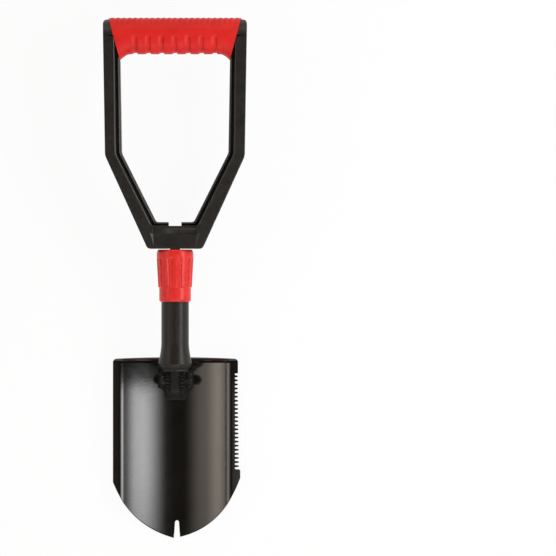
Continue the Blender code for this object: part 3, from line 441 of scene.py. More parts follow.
# %% Handle sizes
HANDLE_DEPTH = 38
HANDLE_HALF = HANDLE_DEPTH / 2
ARM_TOP_Y = 247
ARM_TOP_HALF = 82.5
ARM_TOP_WIDTH = 6.2
ARM_TOP_ROUND = 6
BEND_Y = 90.5
BEND_HALF = 79.9
FOOT_Y = -16.2
FOOT_HALF = 31.2
FOOT_ROUND = 3.5
ARM_WIDTH = 18.7
INNER_BEND_Y = 93.6
INNER_FOOT_Y = 14.4
INNER_FOOT_HALF = 21.5
INNER_ROUND = 3
RIM_WIDTH = 12.6
RIM_WALL = 2.5
WEB_WALL = 3
FLANGE_SETBACK = 9
LIP_WIDTH = 2.8
LIP_DROP = 1.3
LIP_ROUND = 1.1
GROOVE_DEPTH = 3
RIM_CHAMFER = 1.5
RIM_CHAMFER_DEPTH = 0.7
GRIP_TOP_Y = 249
GRIP_TIP_Y = 200
GRIP_UNDER_Y = 206.9

ARM_END_Y = ARM_TOP_Y - HANDLE_HALF
ARM_LEAN = (ARM_TOP_HALF - BEND_HALF) / (ARM_TOP_Y - BEND_Y)
INNER_BEND_HALF = BEND_HALF - ARM_WIDTH
FLANGE_STEP = ARM_WIDTH - RIM_WIDTH
GRIP_TOP_HALF = ARM_TOP_HALF - ARM_TOP_WIDTH
GRIP_TIP_HALF = BEND_HALF + ARM_LEAN * (GRIP_TIP_Y - BEND_Y) - ARM_WIDTH
GRIP_LEAN = (GRIP_TOP_HALF - GRIP_TIP_HALF) / (GRIP_TOP_Y - GRIP_TIP_Y)
print("handle", 2 * ARM_TOP_HALF, "mm wide and", ARM_TOP_Y - FOOT_Y, "mm tall")

# %% [markdown]
# Two outlines describe the handle from the front: the whole moulding, and the opening inside it at any step
# out from the hole. The second is drawn again and again at different steps, so it is written as a function
# that keeps its sides parallel to the arms.

# %% Handle outlines
def grip_edge(y):
    """Where the grip's slanted end meets the arm, across the handle."""
    return GRIP_TIP_HALF + GRIP_LEAN * (y - GRIP_TIP_Y)


def handle_outline():
    """The whole moulding from the front: outer edge up the right, inner edge down, and the mirror image."""
    foot = rounded((0, FOOT_Y), (FOOT_HALF, FOOT_Y), (BEND_HALF, BEND_Y), FOOT_ROUND)
    bend = rounded((FOOT_HALF, FOOT_Y), (BEND_HALF, BEND_Y), (ARM_TOP_HALF, ARM_TOP_Y), FOOT_ROUND)
    top = rounded((BEND_HALF, BEND_Y), (ARM_TOP_HALF, ARM_TOP_Y), (0, ARM_TOP_Y), ARM_TOP_ROUND)
    corners = [(grip_edge(ARM_TOP_Y), ARM_TOP_Y), (GRIP_TIP_HALF, GRIP_TIP_Y),
               (INNER_BEND_HALF, INNER_BEND_Y), (INNER_FOOT_HALF, INNER_FOOT_Y), (0, INNER_FOOT_Y)]
    inner_bend = rounded(corners[1], corners[2], corners[3], INNER_ROUND)
    inner_foot = rounded(corners[2], corners[3], corners[4], INNER_ROUND)
    return mirrored([*foot, *bend, *top, *corners[:2], *inner_bend, *inner_foot])


def opening(step, foot_y):
    """The inner opening, widened by a step: at 0 it is the hole, at the full step the rim's edge."""
    slope = (INNER_BEND_HALF - INNER_FOOT_HALF) / (INNER_BEND_Y - INNER_FOOT_Y)
    stretch = step * math.hypot(1, slope)
    foot = (INNER_FOOT_HALF + stretch - slope * (INNER_FOOT_Y - foot_y), foot_y)
    bend = (INNER_BEND_HALF + step, INNER_BEND_Y - (stretch - step) / slope)
    top_y = GRIP_TIP_Y + step / GRIP_LEAN
    top = (grip_edge(top_y), top_y)
    inner_foot = rounded((0, foot_y), foot, bend, INNER_ROUND)
    inner_bend = rounded(foot, bend, top, INNER_ROUND)
    return mirrored([*inner_foot, *inner_bend, top, (GRIP_TIP_HALF / 2, ARM_TOP_Y)])


print("handle outline of", len(handle_outline()), "points")

# %% [markdown]
# Each bay of a channel is a box pushed in from the side, with its long edges rounded first so that the bay
# gets the fillets of a real mould. The bays follow the arm: along the straight part, down the slope, and
# one with a round end under the arm's crown.

# %% Channel bays
RIB_WALL = 2
STRAIGHT_RIB_FIRST = 33
STRAIGHT_RIBS = 8
SLOPE_RIBS = 5
SLOPE_RIB_PITCH = 16.5
BAY_ROUND = 1.2
BAY_ROUND_STEPS = 4
CROWN_STEPS = 40
POCKET_DEPTH = RIM_WIDTH - WEB_WALL
POCKET_HALF = HANDLE_HALF - RIM_WALL


def arm_bay(side, foot, direction, start, end):
    """A rounded box that opens one bay of an arm's outer channel, between two ribs."""
    inward = Vector((-direction.y, direction.x))
    bm = bmesh.new()
    bmesh.ops.create_cube(bm, size=1)
    size = Matrix.Diagonal((end - start, REACH, 2 * POCKET_HALF, 1))
    bmesh.ops.transform(bm, matrix=size, verts=bm.verts)
    inner = [edge for edge in bm.edges if any(vert.co.y > 0 for vert in edge.verts)]
    bmesh.ops.bevel(bm, geom=inner, offset=BAY_ROUND, segments=BAY_ROUND_STEPS, profile=0.5, affect="EDGES",
                    material=-1)
    middle = foot + direction * (start + end) / 2 + inward * (POCKET_DEPTH - REACH / 2)
    lean = Matrix.Rotation(math.atan2(direction.y, direction.x), 4, "Z")
    place = Matrix.Scale(side, 4, (1, 0, 0)) @ Matrix.Translation((middle.x, middle.y, 0)) @ lean
    bmesh.ops.transform(bm, matrix=place, verts=bm.verts)
    bmesh.ops.recalc_face_normals(bm, faces=bm.faces)
    return bm


def carve_bays(body):
    """Open every bay of both arms: the straight ones, the sloping ones and the one under the crown."""
    foot = Vector((FOOT_HALF, FOOT_Y))
    bend = Vector((BEND_HALF, BEND_Y))
    up = Vector((ARM_TOP_HALF, ARM_TOP_Y)) - bend
    slope = bend - foot
    first_rib = up.length - STRAIGHT_RIB_FIRST
    pitch = first_rib / (STRAIGHT_RIBS - 1)
    half_rib = RIB_WALL / 2
    crown_foot = BEND_Y + first_rib + half_rib
    crown = [(crown_foot, -POCKET_HALF), *arc((ARM_END_Y, 0), POCKET_HALF, -90, 90, CROWN_STEPS),
             (crown_foot, POCKET_HALF)]
    floor = grip_edge(ARM_TOP_Y) + WEB_WALL
    for side in (1, -1):
        for i in range(STRAIGHT_RIBS - 1):
            start, end = i * pitch + half_rib, (i + 1) * pitch - half_rib
            carve(body, arm_bay(side, bend, up.normalized(), start, end))
        for i in range(SLOPE_RIBS):
            top = slope.length - i * SLOPE_RIB_PITCH - half_rib
            bay = arm_bay(side, foot, slope.normalized(), top - SLOPE_RIB_PITCH + RIB_WALL, top)
            carve(body, bay)
        reach = sorted((side * floor, side * (floor + REACH)))
        carve(body, prism(crown, *reach, across=True))


print("bays per arm:", STRAIGHT_RIBS - 1 + SLOPE_RIBS + 1)

# %% [markdown]
# Inside the front rim the moulding steps down to a flange with a groove along it. Funnels with leaning walls
# take off its corners: a bridge between two outlines at two heights gives such a wall, so the lip, its
# rounding and the rim's chamfer are all made by one idea.

# %% Rim cutters
FRONT_PLATE_TOP_Y = 10
FLANGE_LEVEL = HANDLE_HALF - FLANGE_SETBACK
FUNNEL_PAST = 0.5
CHAMFER_RUN = 1.5


def ledge(step):
    """The opening's outline at a step from the hole, with the crossbar's edge stepping down in measure."""
    return opening(step, INNER_FOOT_Y - step * (INNER_FOOT_Y - FRONT_PLATE_TOP_Y) / FLANGE_STEP)


def rim_cutter():
    """What is milled out inside the front rim: down to the flange, and deeper in a groove along the rim."""
    rim_edge = opening(FLANGE_STEP, FRONT_PLATE_TOP_Y)
    cutter = work_object(prism(rim_edge, FLANGE_LEVEL - GROOVE_DEPTH, HANDLE_DEPTH))
    carve(cutter, prism(ledge(LIP_WIDTH), -REACH, FLANGE_LEVEL))
    return lift(cutter)


def slope_cutter(low_step, low, high_step, high):
    """A funnel through the opening, whose wall leans from one step and height to another."""
    past = FUNNEL_PAST * (high - low) / (high_step - low_step)
    return tapered(ledge(low_step - FUNNEL_PAST), low - past, ledge(high_step + FUNNEL_PAST), high + past)


def chamfer_cutter():
    """A funnel that takes the sharp corner off the rim's inner edge, so that the edge catches light."""
    top_step = FLANGE_STEP + CHAMFER_RUN * RIM_CHAMFER
    return tapered(opening(FLANGE_STEP, FRONT_PLATE_TOP_Y), HANDLE_HALF - RIM_CHAMFER_DEPTH,
                   opening(top_step, FRONT_PLATE_TOP_Y), HANDLE_HALF + RIM_CHAMFER_DEPTH / 2)


print("flange", FLANGE_SETBACK, "mm behind the rim, groove", GROOVE_DEPTH, "mm deep")

# %% [markdown]
# The crossbar holds the hinge: a slot for the shaft's tongue, round knuckles at the back so that the handle
# can swing, a seat for the bolt on each side, and a front plate over it all. The plate's lower panel leans
# in towards its top edge, which leaves a slanted facet at each end, and a plain band lies above it.

# %% Crossbar
TONGUE_SLOT = 14.6
FRONT_PLATE = 5
KNUCKLE_R = 16.7
KNUCKLE_HALF = 22
KNUCKLE_SIDES = 96
HANDLE_BOLT_HOLE_R = 4.3
BOLT_SEAT_X = 25
BOLT_BAY_HALF = 11.5
PANEL_TOP_Y = 1.8
PANEL_FOOT_Y = -13.2
PANEL_SINK = 2.6
PANEL_TOP_HALF = 29.5
PANEL_FOOT_HALF = 24
PANEL_FACET = 4.6
PANEL_SKIN = 0.2
BAND_SINK = 3.2
BAND_OVERLAP = 0.6
BAND_HALF = 25


def panel_cutter():
    """A cube whose corners are moved: deep along the panel's top, nothing along its foot, slanted ends."""
    bm = bmesh.new()
    bmesh.ops.create_cube(bm, size=2)
    for vert in bm.verts:
        side, up, out = vert.co
        half = PANEL_TOP_HALF if up > 0 else PANEL_FOOT_HALF
        facet = PANEL_FACET if up > 0 else PANEL_SKIN
        sink = PANEL_SINK if up > 0 else 0
        x = half if out > 0 else half - facet
        z = HANDLE_HALF + PANEL_SKIN if out > 0 else HANDLE_HALF - sink
        vert.co = (side * x, PANEL_TOP_Y if up > 0 else PANEL_FOOT_Y, z)
    return bm


def carve_crossbar(body):
    """The knuckles, the tongue's slot, the bolt's seats and hole, and the front plate's panel and band."""
    knuckle_room = work_object(block((-KNUCKLE_HALF, -REACH, -REACH), (KNUCKLE_HALF, REACH, 0)))
    carve(knuckle_room, rod(KNUCKLE_R, -REACH, REACH, 0, KNUCKLE_SIDES))
    carve(body, lift(knuckle_room))
    slot_half = TONGUE_SLOT / 2
    carve(body, block((-slot_half, -REACH, -REACH), (slot_half, REACH, HANDLE_HALF - FRONT_PLATE)))
    for side in (1, -1):
        bay = sorted((side * BOLT_SEAT_X, side * (BOLT_SEAT_X + REACH)))
        carve(body, block((bay[0], -BOLT_BAY_HALF, -POCKET_HALF), (bay[1], BOLT_BAY_HALF, POCKET_HALF)))
    carve(body, rod(HANDLE_BOLT_HOLE_R, -ARM_TOP_HALF, ARM_TOP_HALF))
    carve(body, panel_cutter())
    band_foot_y = PANEL_TOP_Y - BAND_OVERLAP
    carve(body, block((-BAND_HALF, band_foot_y, HANDLE_HALF - BAND_SINK), (BAND_HALF, BEND_Y, HANDLE_DEPTH)))


print("crossbar panel", 2 * PANEL_TOP_HALF, "mm wide at its top")

# %% [markdown]
# Now the handle is carved from one prism: the arms' round tops first, then the rim, the bays and the
# crossbar. A round bar is added across the top for the grip to sit on. A last cut across the arms, just
# below their round tops, keeps the smooth shading of the tops off the flat faces.

# %% Carve the handle
ARM_TOP_STEPS = 48
GRIP_CORE_R = 11
CORE_OVERLAP = 1
SMOOTH_MARGIN = 0.8

body = work_object(prism(handle_outline(), -HANDLE_HALF, HANDLE_HALF))
side_view = [(FOOT_Y - REACH, -HANDLE_HALF), *arc((ARM_END_Y, 0), HANDLE_HALF, -90, 90, ARM_TOP_STEPS),
             (FOOT_Y - REACH, HANDLE_HALF)]
carve(body, prism(side_view, -ARM_TOP_HALF - REACH, ARM_TOP_HALF + REACH, across=True), "INTERSECT")
carve(body, rim_cutter())
carve(body, slope_cutter(0, FLANGE_LEVEL - LIP_DROP, LIP_WIDTH, FLANGE_LEVEL))
carve(body, slope_cutter(0, FLANGE_LEVEL - LIP_DROP - LIP_ROUND, LIP_ROUND, FLANGE_LEVEL - LIP_DROP / 2))
carve(body, chamfer_cutter())
carve_bays(body)
carve_crossbar(body)
grip_core_y = (GRIP_TOP_Y + GRIP_UNDER_Y) / 2
core_half = grip_edge(grip_core_y) + CORE_OVERLAP
carve(body, rod(GRIP_CORE_R, -core_half, core_half, grip_core_y), "UNION")
moulding = lift(body)
bmesh.ops.bisect_plane(moulding, geom=[*moulding.verts, *moulding.edges, *moulding.faces],
                       plane_co=(0, ARM_END_Y - SMOOTH_MARGIN, 0), plane_no=(0, 1, 0))
seat("handle_moulding", moulding, BLACK_PLASTIC, "handle", ["handle_frame"], bevel=0.55,
     smooth=9)

# %% [markdown]
# The grip is one soft moulding over the handle's top bar. Its section is a rounded square, its ends are cut
# on a slant to fit the arms, and it flares at its lower corners. Fingers find seven hollows underneath,
# which run up the front and the back to half height, and fine ribs cross the top. All of it is written as
# one function that says where a point of the skin lies.

# %% Grip shape
GRIP_SQUARENESS = 2.3
GRIP_FLARE = 12
GRIP_FLARE_POWER = 1.4
GRIP_END_FIT = 0.05
FINGER_PITCH = 15.2
FINGER_HOLLOWS = 7
FINGER_WIDTH = 6.2
FINGER_DEPTH = 1.5
FINGER_TOP_Y = 227
FINGER_TOP_SOFT = 1
FINGER_SLOPE = (0.1, 0.7)
FINGER_STEP = (0.34, 0.48)
TOP_RIB_PITCH = 6.5
TOP_RIB_DEPTH = 0.75
TOP_RIB_REACH = 12
TOP_RIB_FULL = 2


def ease(value, start, end):
    """0 before start, 1 after end, and a smooth step between."""
    share = min(1, max(0, (value - start) / (end - start)))
    return share * share * (3 - 2 * share)


def finger_hollow(x):
    """The nearest finger hollow's depth, from 0 to 1: a slope in from the left, a step out at the right."""
    nearest = round(x / FINGER_PITCH)
    if abs(nearest) > FINGER_HOLLOWS // 2:
        return 0.0
    away = (x - nearest * FINGER_PITCH) / FINGER_WIDTH
    return 1 - max(ease(away, *FINGER_STEP), ease(-away, *FINGER_SLOPE))


def top_rib(x):
    """The fine ribs across the top, as a wave from 0 on a rib to 1 between two."""
    return 0.5 - 0.5 * math.cos(2 * math.pi * x / TOP_RIB_PITCH)


def grip_under(x):
    """The height of the grip's underside, which drops towards the arms."""
    flare_start = GRIP_TIP_HALF - GRIP_FLARE
    share = max(0, (abs(x) - flare_start) / GRIP_FLARE)
    return GRIP_UNDER_Y - (GRIP_UNDER_Y - GRIP_TIP_Y) * share ** GRIP_FLARE_POWER


def grip_point(along, around):
    """A point of the grip's skin: along from -1 to 1, around as an angle from the front."""
    under = grip_under(along * GRIP_TIP_HALF)
    middle, half = (GRIP_TOP_Y + under) / 2, (GRIP_TOP_Y - under) / 2
    power = 2 / GRIP_SQUARENESS
    out = math.copysign(abs(math.cos(around)) ** power, math.cos(around))
    up = math.copysign(abs(math.sin(around)) ** power, math.sin(around))
    y, z = middle + half * up, HANDLE_HALF * out
    x = along * (grip_edge(y) - GRIP_END_FIT)
    below = 1 - ease(y, FINGER_TOP_Y - FINGER_TOP_SOFT, FINGER_TOP_Y + FINGER_TOP_SOFT)
    above = ease(y, GRIP_TOP_Y - TOP_RIB_REACH, GRIP_TOP_Y - TOP_RIB_FULL)
    sink = FINGER_DEPTH * finger_hollow(x) * below + TOP_RIB_DEPTH * top_rib(x) * above
    return x, y - sink * math.sin(around), z - sink * math.cos(around)


print("grip", round(2 * GRIP_TOP_HALF, 1), "mm wide at its top, with", FINGER_HOLLOWS, "finger hollows")

# %% [markdown]
# A flat grid becomes the grip: its columns are stations along the bar and its rows go once round. Moving
# every point to its place on the skin rolls the grid into a tube, whose seam is merged and whose ends are
# filled. Then the bar's hole is cut, a little wider than the bar.

# %% Roll the grip
GRIP_STATIONS = 340
GRIP_RING = 120
GRIP_SEAM_MERGE = 0.001
GRIP_FIT = 0.3

grip = bmesh.new()
bmesh.ops.create_grid(grip, x_segments=GRIP_STATIONS, y_segments=GRIP_RING, size=1)
for vert in grip.verts:
    vert.co = grip_point(vert.co.x, math.pi * (1 + vert.co.y))
bmesh.ops.remove_doubles(grip, verts=grip.verts, dist=GRIP_SEAM_MERGE)
bmesh.ops.holes_fill(grip, edges=[edge for edge in grip.edges if edge.is_boundary], sides=0)
bmesh.ops.recalc_face_normals(grip, faces=grip.faces)
grip_work = work_object(grip)
carve(grip_work, rod(GRIP_CORE_R + GRIP_FIT, -ARM_TOP_HALF, ARM_TOP_HALF, grip_core_y))
grip = bmesh.new()
grip.from_mesh(grip_work.data)
bpy.data.objects.remove(grip_work)
seat("grip_moulding", grip, GRIP_RED, "handle", ["grip_sleeve"], smooth=50)

# %% [markdown]
# The red collar locks the blade. It is a turned part with a domed top, a long taper and a plain band below,
# and it is hollow: inside it are rooms for the ring that holds it, for its threaded insert and for the
# sleeve. One profile goes down the outside and back up through these rooms.

# %% Collar profile
COLLAR_TOP_Y = -17.1
COLLAR_END_Y = -77
COLLAR_TOP_R = 19
COLLAR_SHOULDER_Y = -24
COLLAR_SHOULDER_R = 21.2
COLLAR_STEP_Y = -59.7
COLLAR_STEP_R = 19.3
COLLAR_BAND_R = 18.25
COLLAR_CHAMFER = 1.9
COLLAR_CHAMFER_LENGTH = 3.6
COLLAR_BAND_TOP_Y = COLLAR_STEP_Y - (COLLAR_STEP_R - COLLAR_BAND_R)
COLLAR_DOME_PULL = 1.5
COLLAR_BORE_R = 12
COLLAR_CAP = 9.5
DOME_STEPS = 12
TAPER_STEPS = 64
STEP_STEPS = 3
BAND_STEPS = 22
CHAMFER_STEPS = 8
RING_ROOM_R = 14.8
INSERT_ROOM_R = 17.2
INSERT_ROOM_TOP_Y = -29.9
INSERT_ROOM_END_Y = -58
SLEEVE_ROOM_R = 16.1


def run(start, end, count):
    """Evenly spaced points after start, up to and with the end."""
    start, end = Vector(start), Vector(end)
    return [tuple(start.lerp(end, (i + 1) / count)) for i in range(count)]


def collar_profile():
    """The collar's section: down the dome, taper, step, band and chamfer, and up through its rooms."""
    dome = bent((COLLAR_TOP_R, COLLAR_TOP_Y), (COLLAR_SHOULDER_R, COLLAR_TOP_Y - COLLAR_DOME_PULL),
                (COLLAR_SHOULDER_R, COLLAR_SHOULDER_Y), DOME_STEPS)
    taper = run(dome[-1], (COLLAR_STEP_R, COLLAR_STEP_Y), TAPER_STEPS)
    band_top = (COLLAR_BAND_R, COLLAR_BAND_TOP_Y)
    step = run(taper[-1], band_top, STEP_STEPS)
    band = run(band_top, (COLLAR_BAND_R, COLLAR_END_Y + COLLAR_CHAMFER_LENGTH), BAND_STEPS)
    chamfer = bent(band[-1], (COLLAR_BAND_R, COLLAR_END_Y), (COLLAR_BAND_R - COLLAR_CHAMFER, COLLAR_END_Y),
                   CHAMFER_STEPS)
    cap_end = COLLAR_TOP_Y - COLLAR_CAP
    inside = [(SLEEVE_ROOM_R, COLLAR_END_Y), (SLEEVE_ROOM_R, INSERT_ROOM_END_Y),
              (INSERT_ROOM_R, INSERT_ROOM_END_Y), (INSERT_ROOM_R, INSERT_ROOM_TOP_Y),
              (RING_ROOM_R, INSERT_ROOM_TOP_Y), (RING_ROOM_R, cap_end), (COLLAR_BORE_R, cap_end)]
    return [(COLLAR_BORE_R, COLLAR_TOP_Y), *dome, *taper, *step, *band, *chamfer[1:], *inside]


print("collar", round(COLLAR_TOP_Y - COLLAR_END_Y, 1), "mm long")

# %% [markdown]
# Twelve flat ribs stand on the taper for the hand to turn the collar by, and the ground between them runs
# down flush into the band. Spinning the ribs' own profile finely, and then sinking the points that lie
# between two ribs, gives ribs with soft flanks and valleys with round ends. A light smoothing takes the
# stair-steps off the flanks.

# %% Turn the collar
COLLAR_STEPS = 408
COLLAR_RIBS = 12
COLLAR_RIB_TOP = 3.7
COLLAR_RIB_WIDTH = 5.6
COLLAR_GROUND_R = 19.9
VALLEY_TOP_Y = -25.6
VALLEY_FULL_Y = -28.6
RIB_SKIN = 0.5
SMOOTHED_SKIN = 0.3
SMOOTH_SHARE = 0.3


def ribbed(radius, y, angle):
    """The radius at a height and an angle: on a rib as it was spun, between two ribs down to the ground."""
    pitch = 2 * math.pi / COLLAR_RIBS
    away = abs((angle + pitch / 2) % pitch - pitch / 2) * radius
    slope = (COLLAR_GROUND_R - COLLAR_BAND_R) / (COLLAR_SHOULDER_Y - COLLAR_BAND_TOP_Y)
    ground = COLLAR_BAND_R + slope * max(0, y - COLLAR_BAND_TOP_Y)
    between = ease(away, COLLAR_RIB_TOP / 2, COLLAR_RIB_WIDTH / 2)
    below = 1 - ease(y, VALLEY_FULL_Y, VALLEY_TOP_Y)
    return radius - max(0, radius - ground) * between * below


collar = turned(collar_profile(), COLLAR_STEPS)
for vert in collar.verts:
    radius = math.hypot(vert.co.x, vert.co.z)
    if radius > INSERT_ROOM_R + RIB_SKIN and vert.co.y < COLLAR_SHOULDER_Y:
        share = ribbed(radius, vert.co.y, math.atan2(vert.co.z, vert.co.x)) / radius
        vert.co.x *= share
        vert.co.z *= share
outer = [vert for vert in collar.verts if vert.co.y < COLLAR_SHOULDER_Y
         and math.hypot(vert.co.x, vert.co.z) > INSERT_ROOM_R + SMOOTHED_SKIN]
bmesh.ops.smooth_vert(collar, verts=outer, factor=SMOOTH_SHARE, use_axis_x=True, use_axis_y=False,
                      use_axis_z=True)
seat("collar_moulding", collar, COLLAR_RED, "collar", ["lock_collar"], smooth=40)

# %% [markdown]
# The black sleeve slides on the shaft and closes over the hinge. Below the collar it is a plain tube that
# swells into a bell, rounds in again to a fine edge and ends in a short skirt. It is turned in one spin.

# %% Sleeve
SLEEVE_STEPS = 160
SLEEVE_R = 15.8
SLEEVE_BORE_R = 12
SLEEVE_TOP_Y = -36.5
SLEEVE_END_Y = -155
THREAD_R = 14.6
THREAD_END_Y = -62
FLARE_START_Y = -122
FLARE_Y = -147.6
FLARE_R = 19.7
LIP_EDGE_Y = -154.2
LIP_EDGE_R = 15.4
SKIRT_END_Y = -157
SKIRT_R = 14.8
SKIRT_BORE_R = 13.4
SKIRT_ROUND = 0.7
FLARE_PULL = (SLEEVE_R, FLARE_START_Y - 13)
SHOULDER_PULL = (FLARE_R + 0.5, FLARE_Y - 3.5)

flare = bent((SLEEVE_R, FLARE_START_Y), FLARE_PULL, (FLARE_R, FLARE_Y), 20)
shoulder = bent((FLARE_R, FLARE_Y), SHOULDER_PULL, (LIP_EDGE_R, LIP_EDGE_Y), 14)
lip_edge = [(LIP_EDGE_R - 0.15, LIP_EDGE_Y - 0.35), (SKIRT_R, LIP_EDGE_Y - 0.6)]
skirt = bent((SKIRT_R, SKIRT_END_Y + SKIRT_ROUND), (SKIRT_R, SKIRT_END_Y),
             (SKIRT_R - SKIRT_ROUND, SKIRT_END_Y), 4)
sleeve_profile = [
    (SLEEVE_BORE_R, SLEEVE_TOP_Y), (THREAD_R, SLEEVE_TOP_Y), (THREAD_R, THREAD_END_Y),
    (SLEEVE_R, THREAD_END_Y), *flare, *shoulder[1:], *lip_edge, *skirt,
    (SKIRT_BORE_R, SKIRT_END_Y), (SKIRT_BORE_R, SLEEVE_END_Y), (SLEEVE_BORE_R, SLEEVE_END_Y),
]
seat("sleeve_tube", turned(sleeve_profile, SLEEVE_STEPS), SLEEVE_BLACK, "sleeve", ["shaft_sleeve"],
     smooth=35)

# %% [markdown]
# The blade is one pressed sheet. Across, it is a round dish between two flat flanges with a soft crease;
# along, its heel is rolled down and its toe lifts a little. Its right edge is a saw that ends in an ear, its
# left edge is plain, and a notch is cut into its tip.

# %% Blade sizes
BLADE_THICK = 2
BLADE_HALF = 72
BLADE_TOP_Y = -141
BLADE_TOP_DIP = 1.7
BLADE_TIP_Y = -349.3
CREASE_HALF = 62.4
CREASE_SOFT = 3
FLANGE_Z = -21.5
DISH_Z = -32
DISH_R = 183.6
ROLL_WIDTH = 6.5
ROLL_R = 7
TOE_START_Y = -250
TOE_LIFT = 3
TIP_RIGHT_Y = -348
LEFT_SHOULDER_Y = -284.6
LEFT_PULL = (-52, -335.5)
EAR_HALF = 74.6
EAR_TOP_Y = -270
EAR_END_Y = -279.7
RIGHT_PULL = (54, -336.5)
SAW_FIRST_Y = -162.8
SAW_TEETH = 23
SAW_PITCH = 4.7
SAW_ROOT = 68.5
SAW_TIP_TOP = 71.7
SAW_TIP_FOOT = 73.1
CORNER_ROUND = 4
NOTCH_X = 1.6
NOTCH_TOP_Y = -329
NOTCH_TOP_WIDTH = 4.4
NOTCH_MOUTH_WIDTH = 7.1
print("blade", BLADE_HALF + EAR_HALF, "mm wide and", round(BLADE_TOP_Y - BLADE_TIP_Y, 1), "mm long")

# %% [markdown]
# Small functions say how high the sheet is at a place, and where its upper and lower edges run. The lower
# edge is two curves. A curve is drawn by a running share and not by x, so the share that belongs to an x is
# found by halving.

# %% Blade surface
CURVE_HALVINGS = 40


def dish_height(x):
    """Height of the scoop across the blade, with the crease rounded off."""
    x = abs(x)
    soft_start = CREASE_HALF - CREASE_SOFT
    low = min(x, soft_start)
    root = math.sqrt(DISH_R ** 2 - low * low)
    past = min(max(0, x - soft_start), 2 * CREASE_SOFT)
    return DISH_Z + DISH_R - root + low / root * (past - past * past / (4 * CREASE_SOFT))


def lengthwise_height(y):
    """What the rolled heel and the lifted toe add along the blade."""
    roll_start = BLADE_TOP_Y - ROLL_WIDTH
    if y > roll_start:
        return math.sqrt(ROLL_R ** 2 - (y - roll_start) ** 2) - ROLL_R
    toe = max(0, (TOE_START_Y - y) / (TOE_START_Y - BLADE_TIP_Y))
    return TOE_LIFT * toe * toe


def curve_at(x, start, pull, end):
    """Height of a bent curve at x, found by halving."""
    low, high = 0.0, 1.0
    for _ in range(CURVE_HALVINGS):
        t = (low + high) / 2
        at = (1 - t) ** 2 * start[0] + 2 * t * (1 - t) * pull[0] + t * t * end[0]
        low, high = (t, high) if at < x else (low, t)
    return (1 - t) ** 2 * start[1] + 2 * t * (1 - t) * pull[1] + t * t * end[1]


def blade_foot(x):
    """The blade's lower edge: a curve on each side of the notch's mouth."""
    left_tip = (NOTCH_X - NOTCH_MOUTH_WIDTH / 2, BLADE_TIP_Y)
    right_tip = (NOTCH_X + NOTCH_MOUTH_WIDTH / 2, TIP_RIGHT_Y)
    if x < left_tip[0]:
        return curve_at(x, (-BLADE_HALF, LEFT_SHOULDER_Y), LEFT_PULL, left_tip)
    if x > right_tip[0]:
        return curve_at(x, right_tip, RIGHT_PULL, (EAR_HALF, EAR_END_Y))
    return BLADE_TIP_Y + (TIP_RIGHT_Y - BLADE_TIP_Y) * (x - left_tip[0]) / NOTCH_MOUTH_WIDTH


def blade_heel(x):
    """The blade's upper edge, with its rounded corners."""
    x = min(abs(x), BLADE_HALF)
    into_corner = max(0, x - (BLADE_HALF - CORNER_ROUND))
    drop = CORNER_ROUND - math.sqrt(CORNER_ROUND ** 2 - into_corner ** 2)
    return BLADE_TOP_Y - BLADE_TOP_DIP * (x / BLADE_HALF) ** 2 - drop


print("flange", round(dish_height(BLADE_HALF) - DISH_Z, 1), "mm above the middle of the dish")

# %% [markdown]
# A grid is fitted to the blade's outline instead of being cut by it: its columns run from the heel to the
# tip's curve, close together where the sheet bends. Clean rows and columns keep the long reflections smooth.
# Solidify then gives the sheet its thickness.

# %% Press the blade
BLADE_ROWS = 150
HEEL_ROWS = 14
DISH_COLUMNS = 38
DISH_SPACING = CREASE_HALF / 40
CREASE_COLUMNS = 12
CORNER_COLUMNS = 8
FLANGE_COLUMN = 66.6
EAR_COLUMN = 73.3


def blade_columns():
    """Stations across the blade, close together at the creases and at the rounded corners."""
    corner = BLADE_HALF - CORNER_ROUND
    crease = CREASE_HALF - CREASE_SOFT
    quarter = [math.pi / 2 * i / CORNER_COLUMNS for i in range(CORNER_COLUMNS + 1)]
    half = [DISH_SPACING * i for i in range(DISH_COLUMNS)]
    half += [crease + 2 * CREASE_SOFT * i / CREASE_COLUMNS for i in range(CREASE_COLUMNS + 1)]
    half += [FLANGE_COLUMN, *(corner + CORNER_ROUND * math.sin(angle) for angle in quarter)]
    return sorted([-x for x in half[1:]] + half + [EAR_COLUMN, EAR_HALF])


def blade_point(x, share):
    """A point of the scoop's face: x across, and a share of the way from the heel to the tip."""
    top = blade_heel(x)
    y = top + (blade_foot(x) - top) * share
    return x, y, dish_height(x) + lengthwise_height(y)


columns = blade_columns()
heel_share = 2 * ROLL_WIDTH / (BLADE_TOP_Y - BLADE_TIP_Y)
shares = [heel_share * i / HEEL_ROWS for i in range(HEEL_ROWS)]
shares += [heel_share + (1 - heel_share) * i / BLADE_ROWS for i in range(BLADE_ROWS + 1)]
sheet = bmesh.new()
bmesh.ops.create_grid(sheet, x_segments=len(columns) - 1, y_segments=len(shares) - 1, size=0.5)
for vert in sheet.verts:
    column = round((vert.co.x + 0.5) * (len(columns) - 1))
    row = round((0.5 - vert.co.y) * (len(shares) - 1))
    vert.co = blade_point(columns[column], shares[row])
bmesh.ops.recalc_face_normals(sheet, faces=sheet.faces)
if sum(face.normal.z for face in sheet.faces) < 0:
    bmesh.ops.reverse_faces(sheet, faces=sheet.faces)
blade = work_object(sheet)
wall = blade.modifiers.new("wall", "SOLIDIFY")
wall.thickness = BLADE_THICK
wall.offset = -1
pressed = evaluated(blade)
blade.modifiers.clear()
blade.data = pressed
print("blade sheet", len(columns), "by", len(shares), "points")

# %% [markdown]
# The saw and the tip's notch are punched out of the pressed sheet. The saw's teeth are short fingers with
# gaps about as wide as they are, and their tips lean out a little towards the ear. A last bevel softens the
# sheet's rim, except along the saw, whose teeth stay crisp.

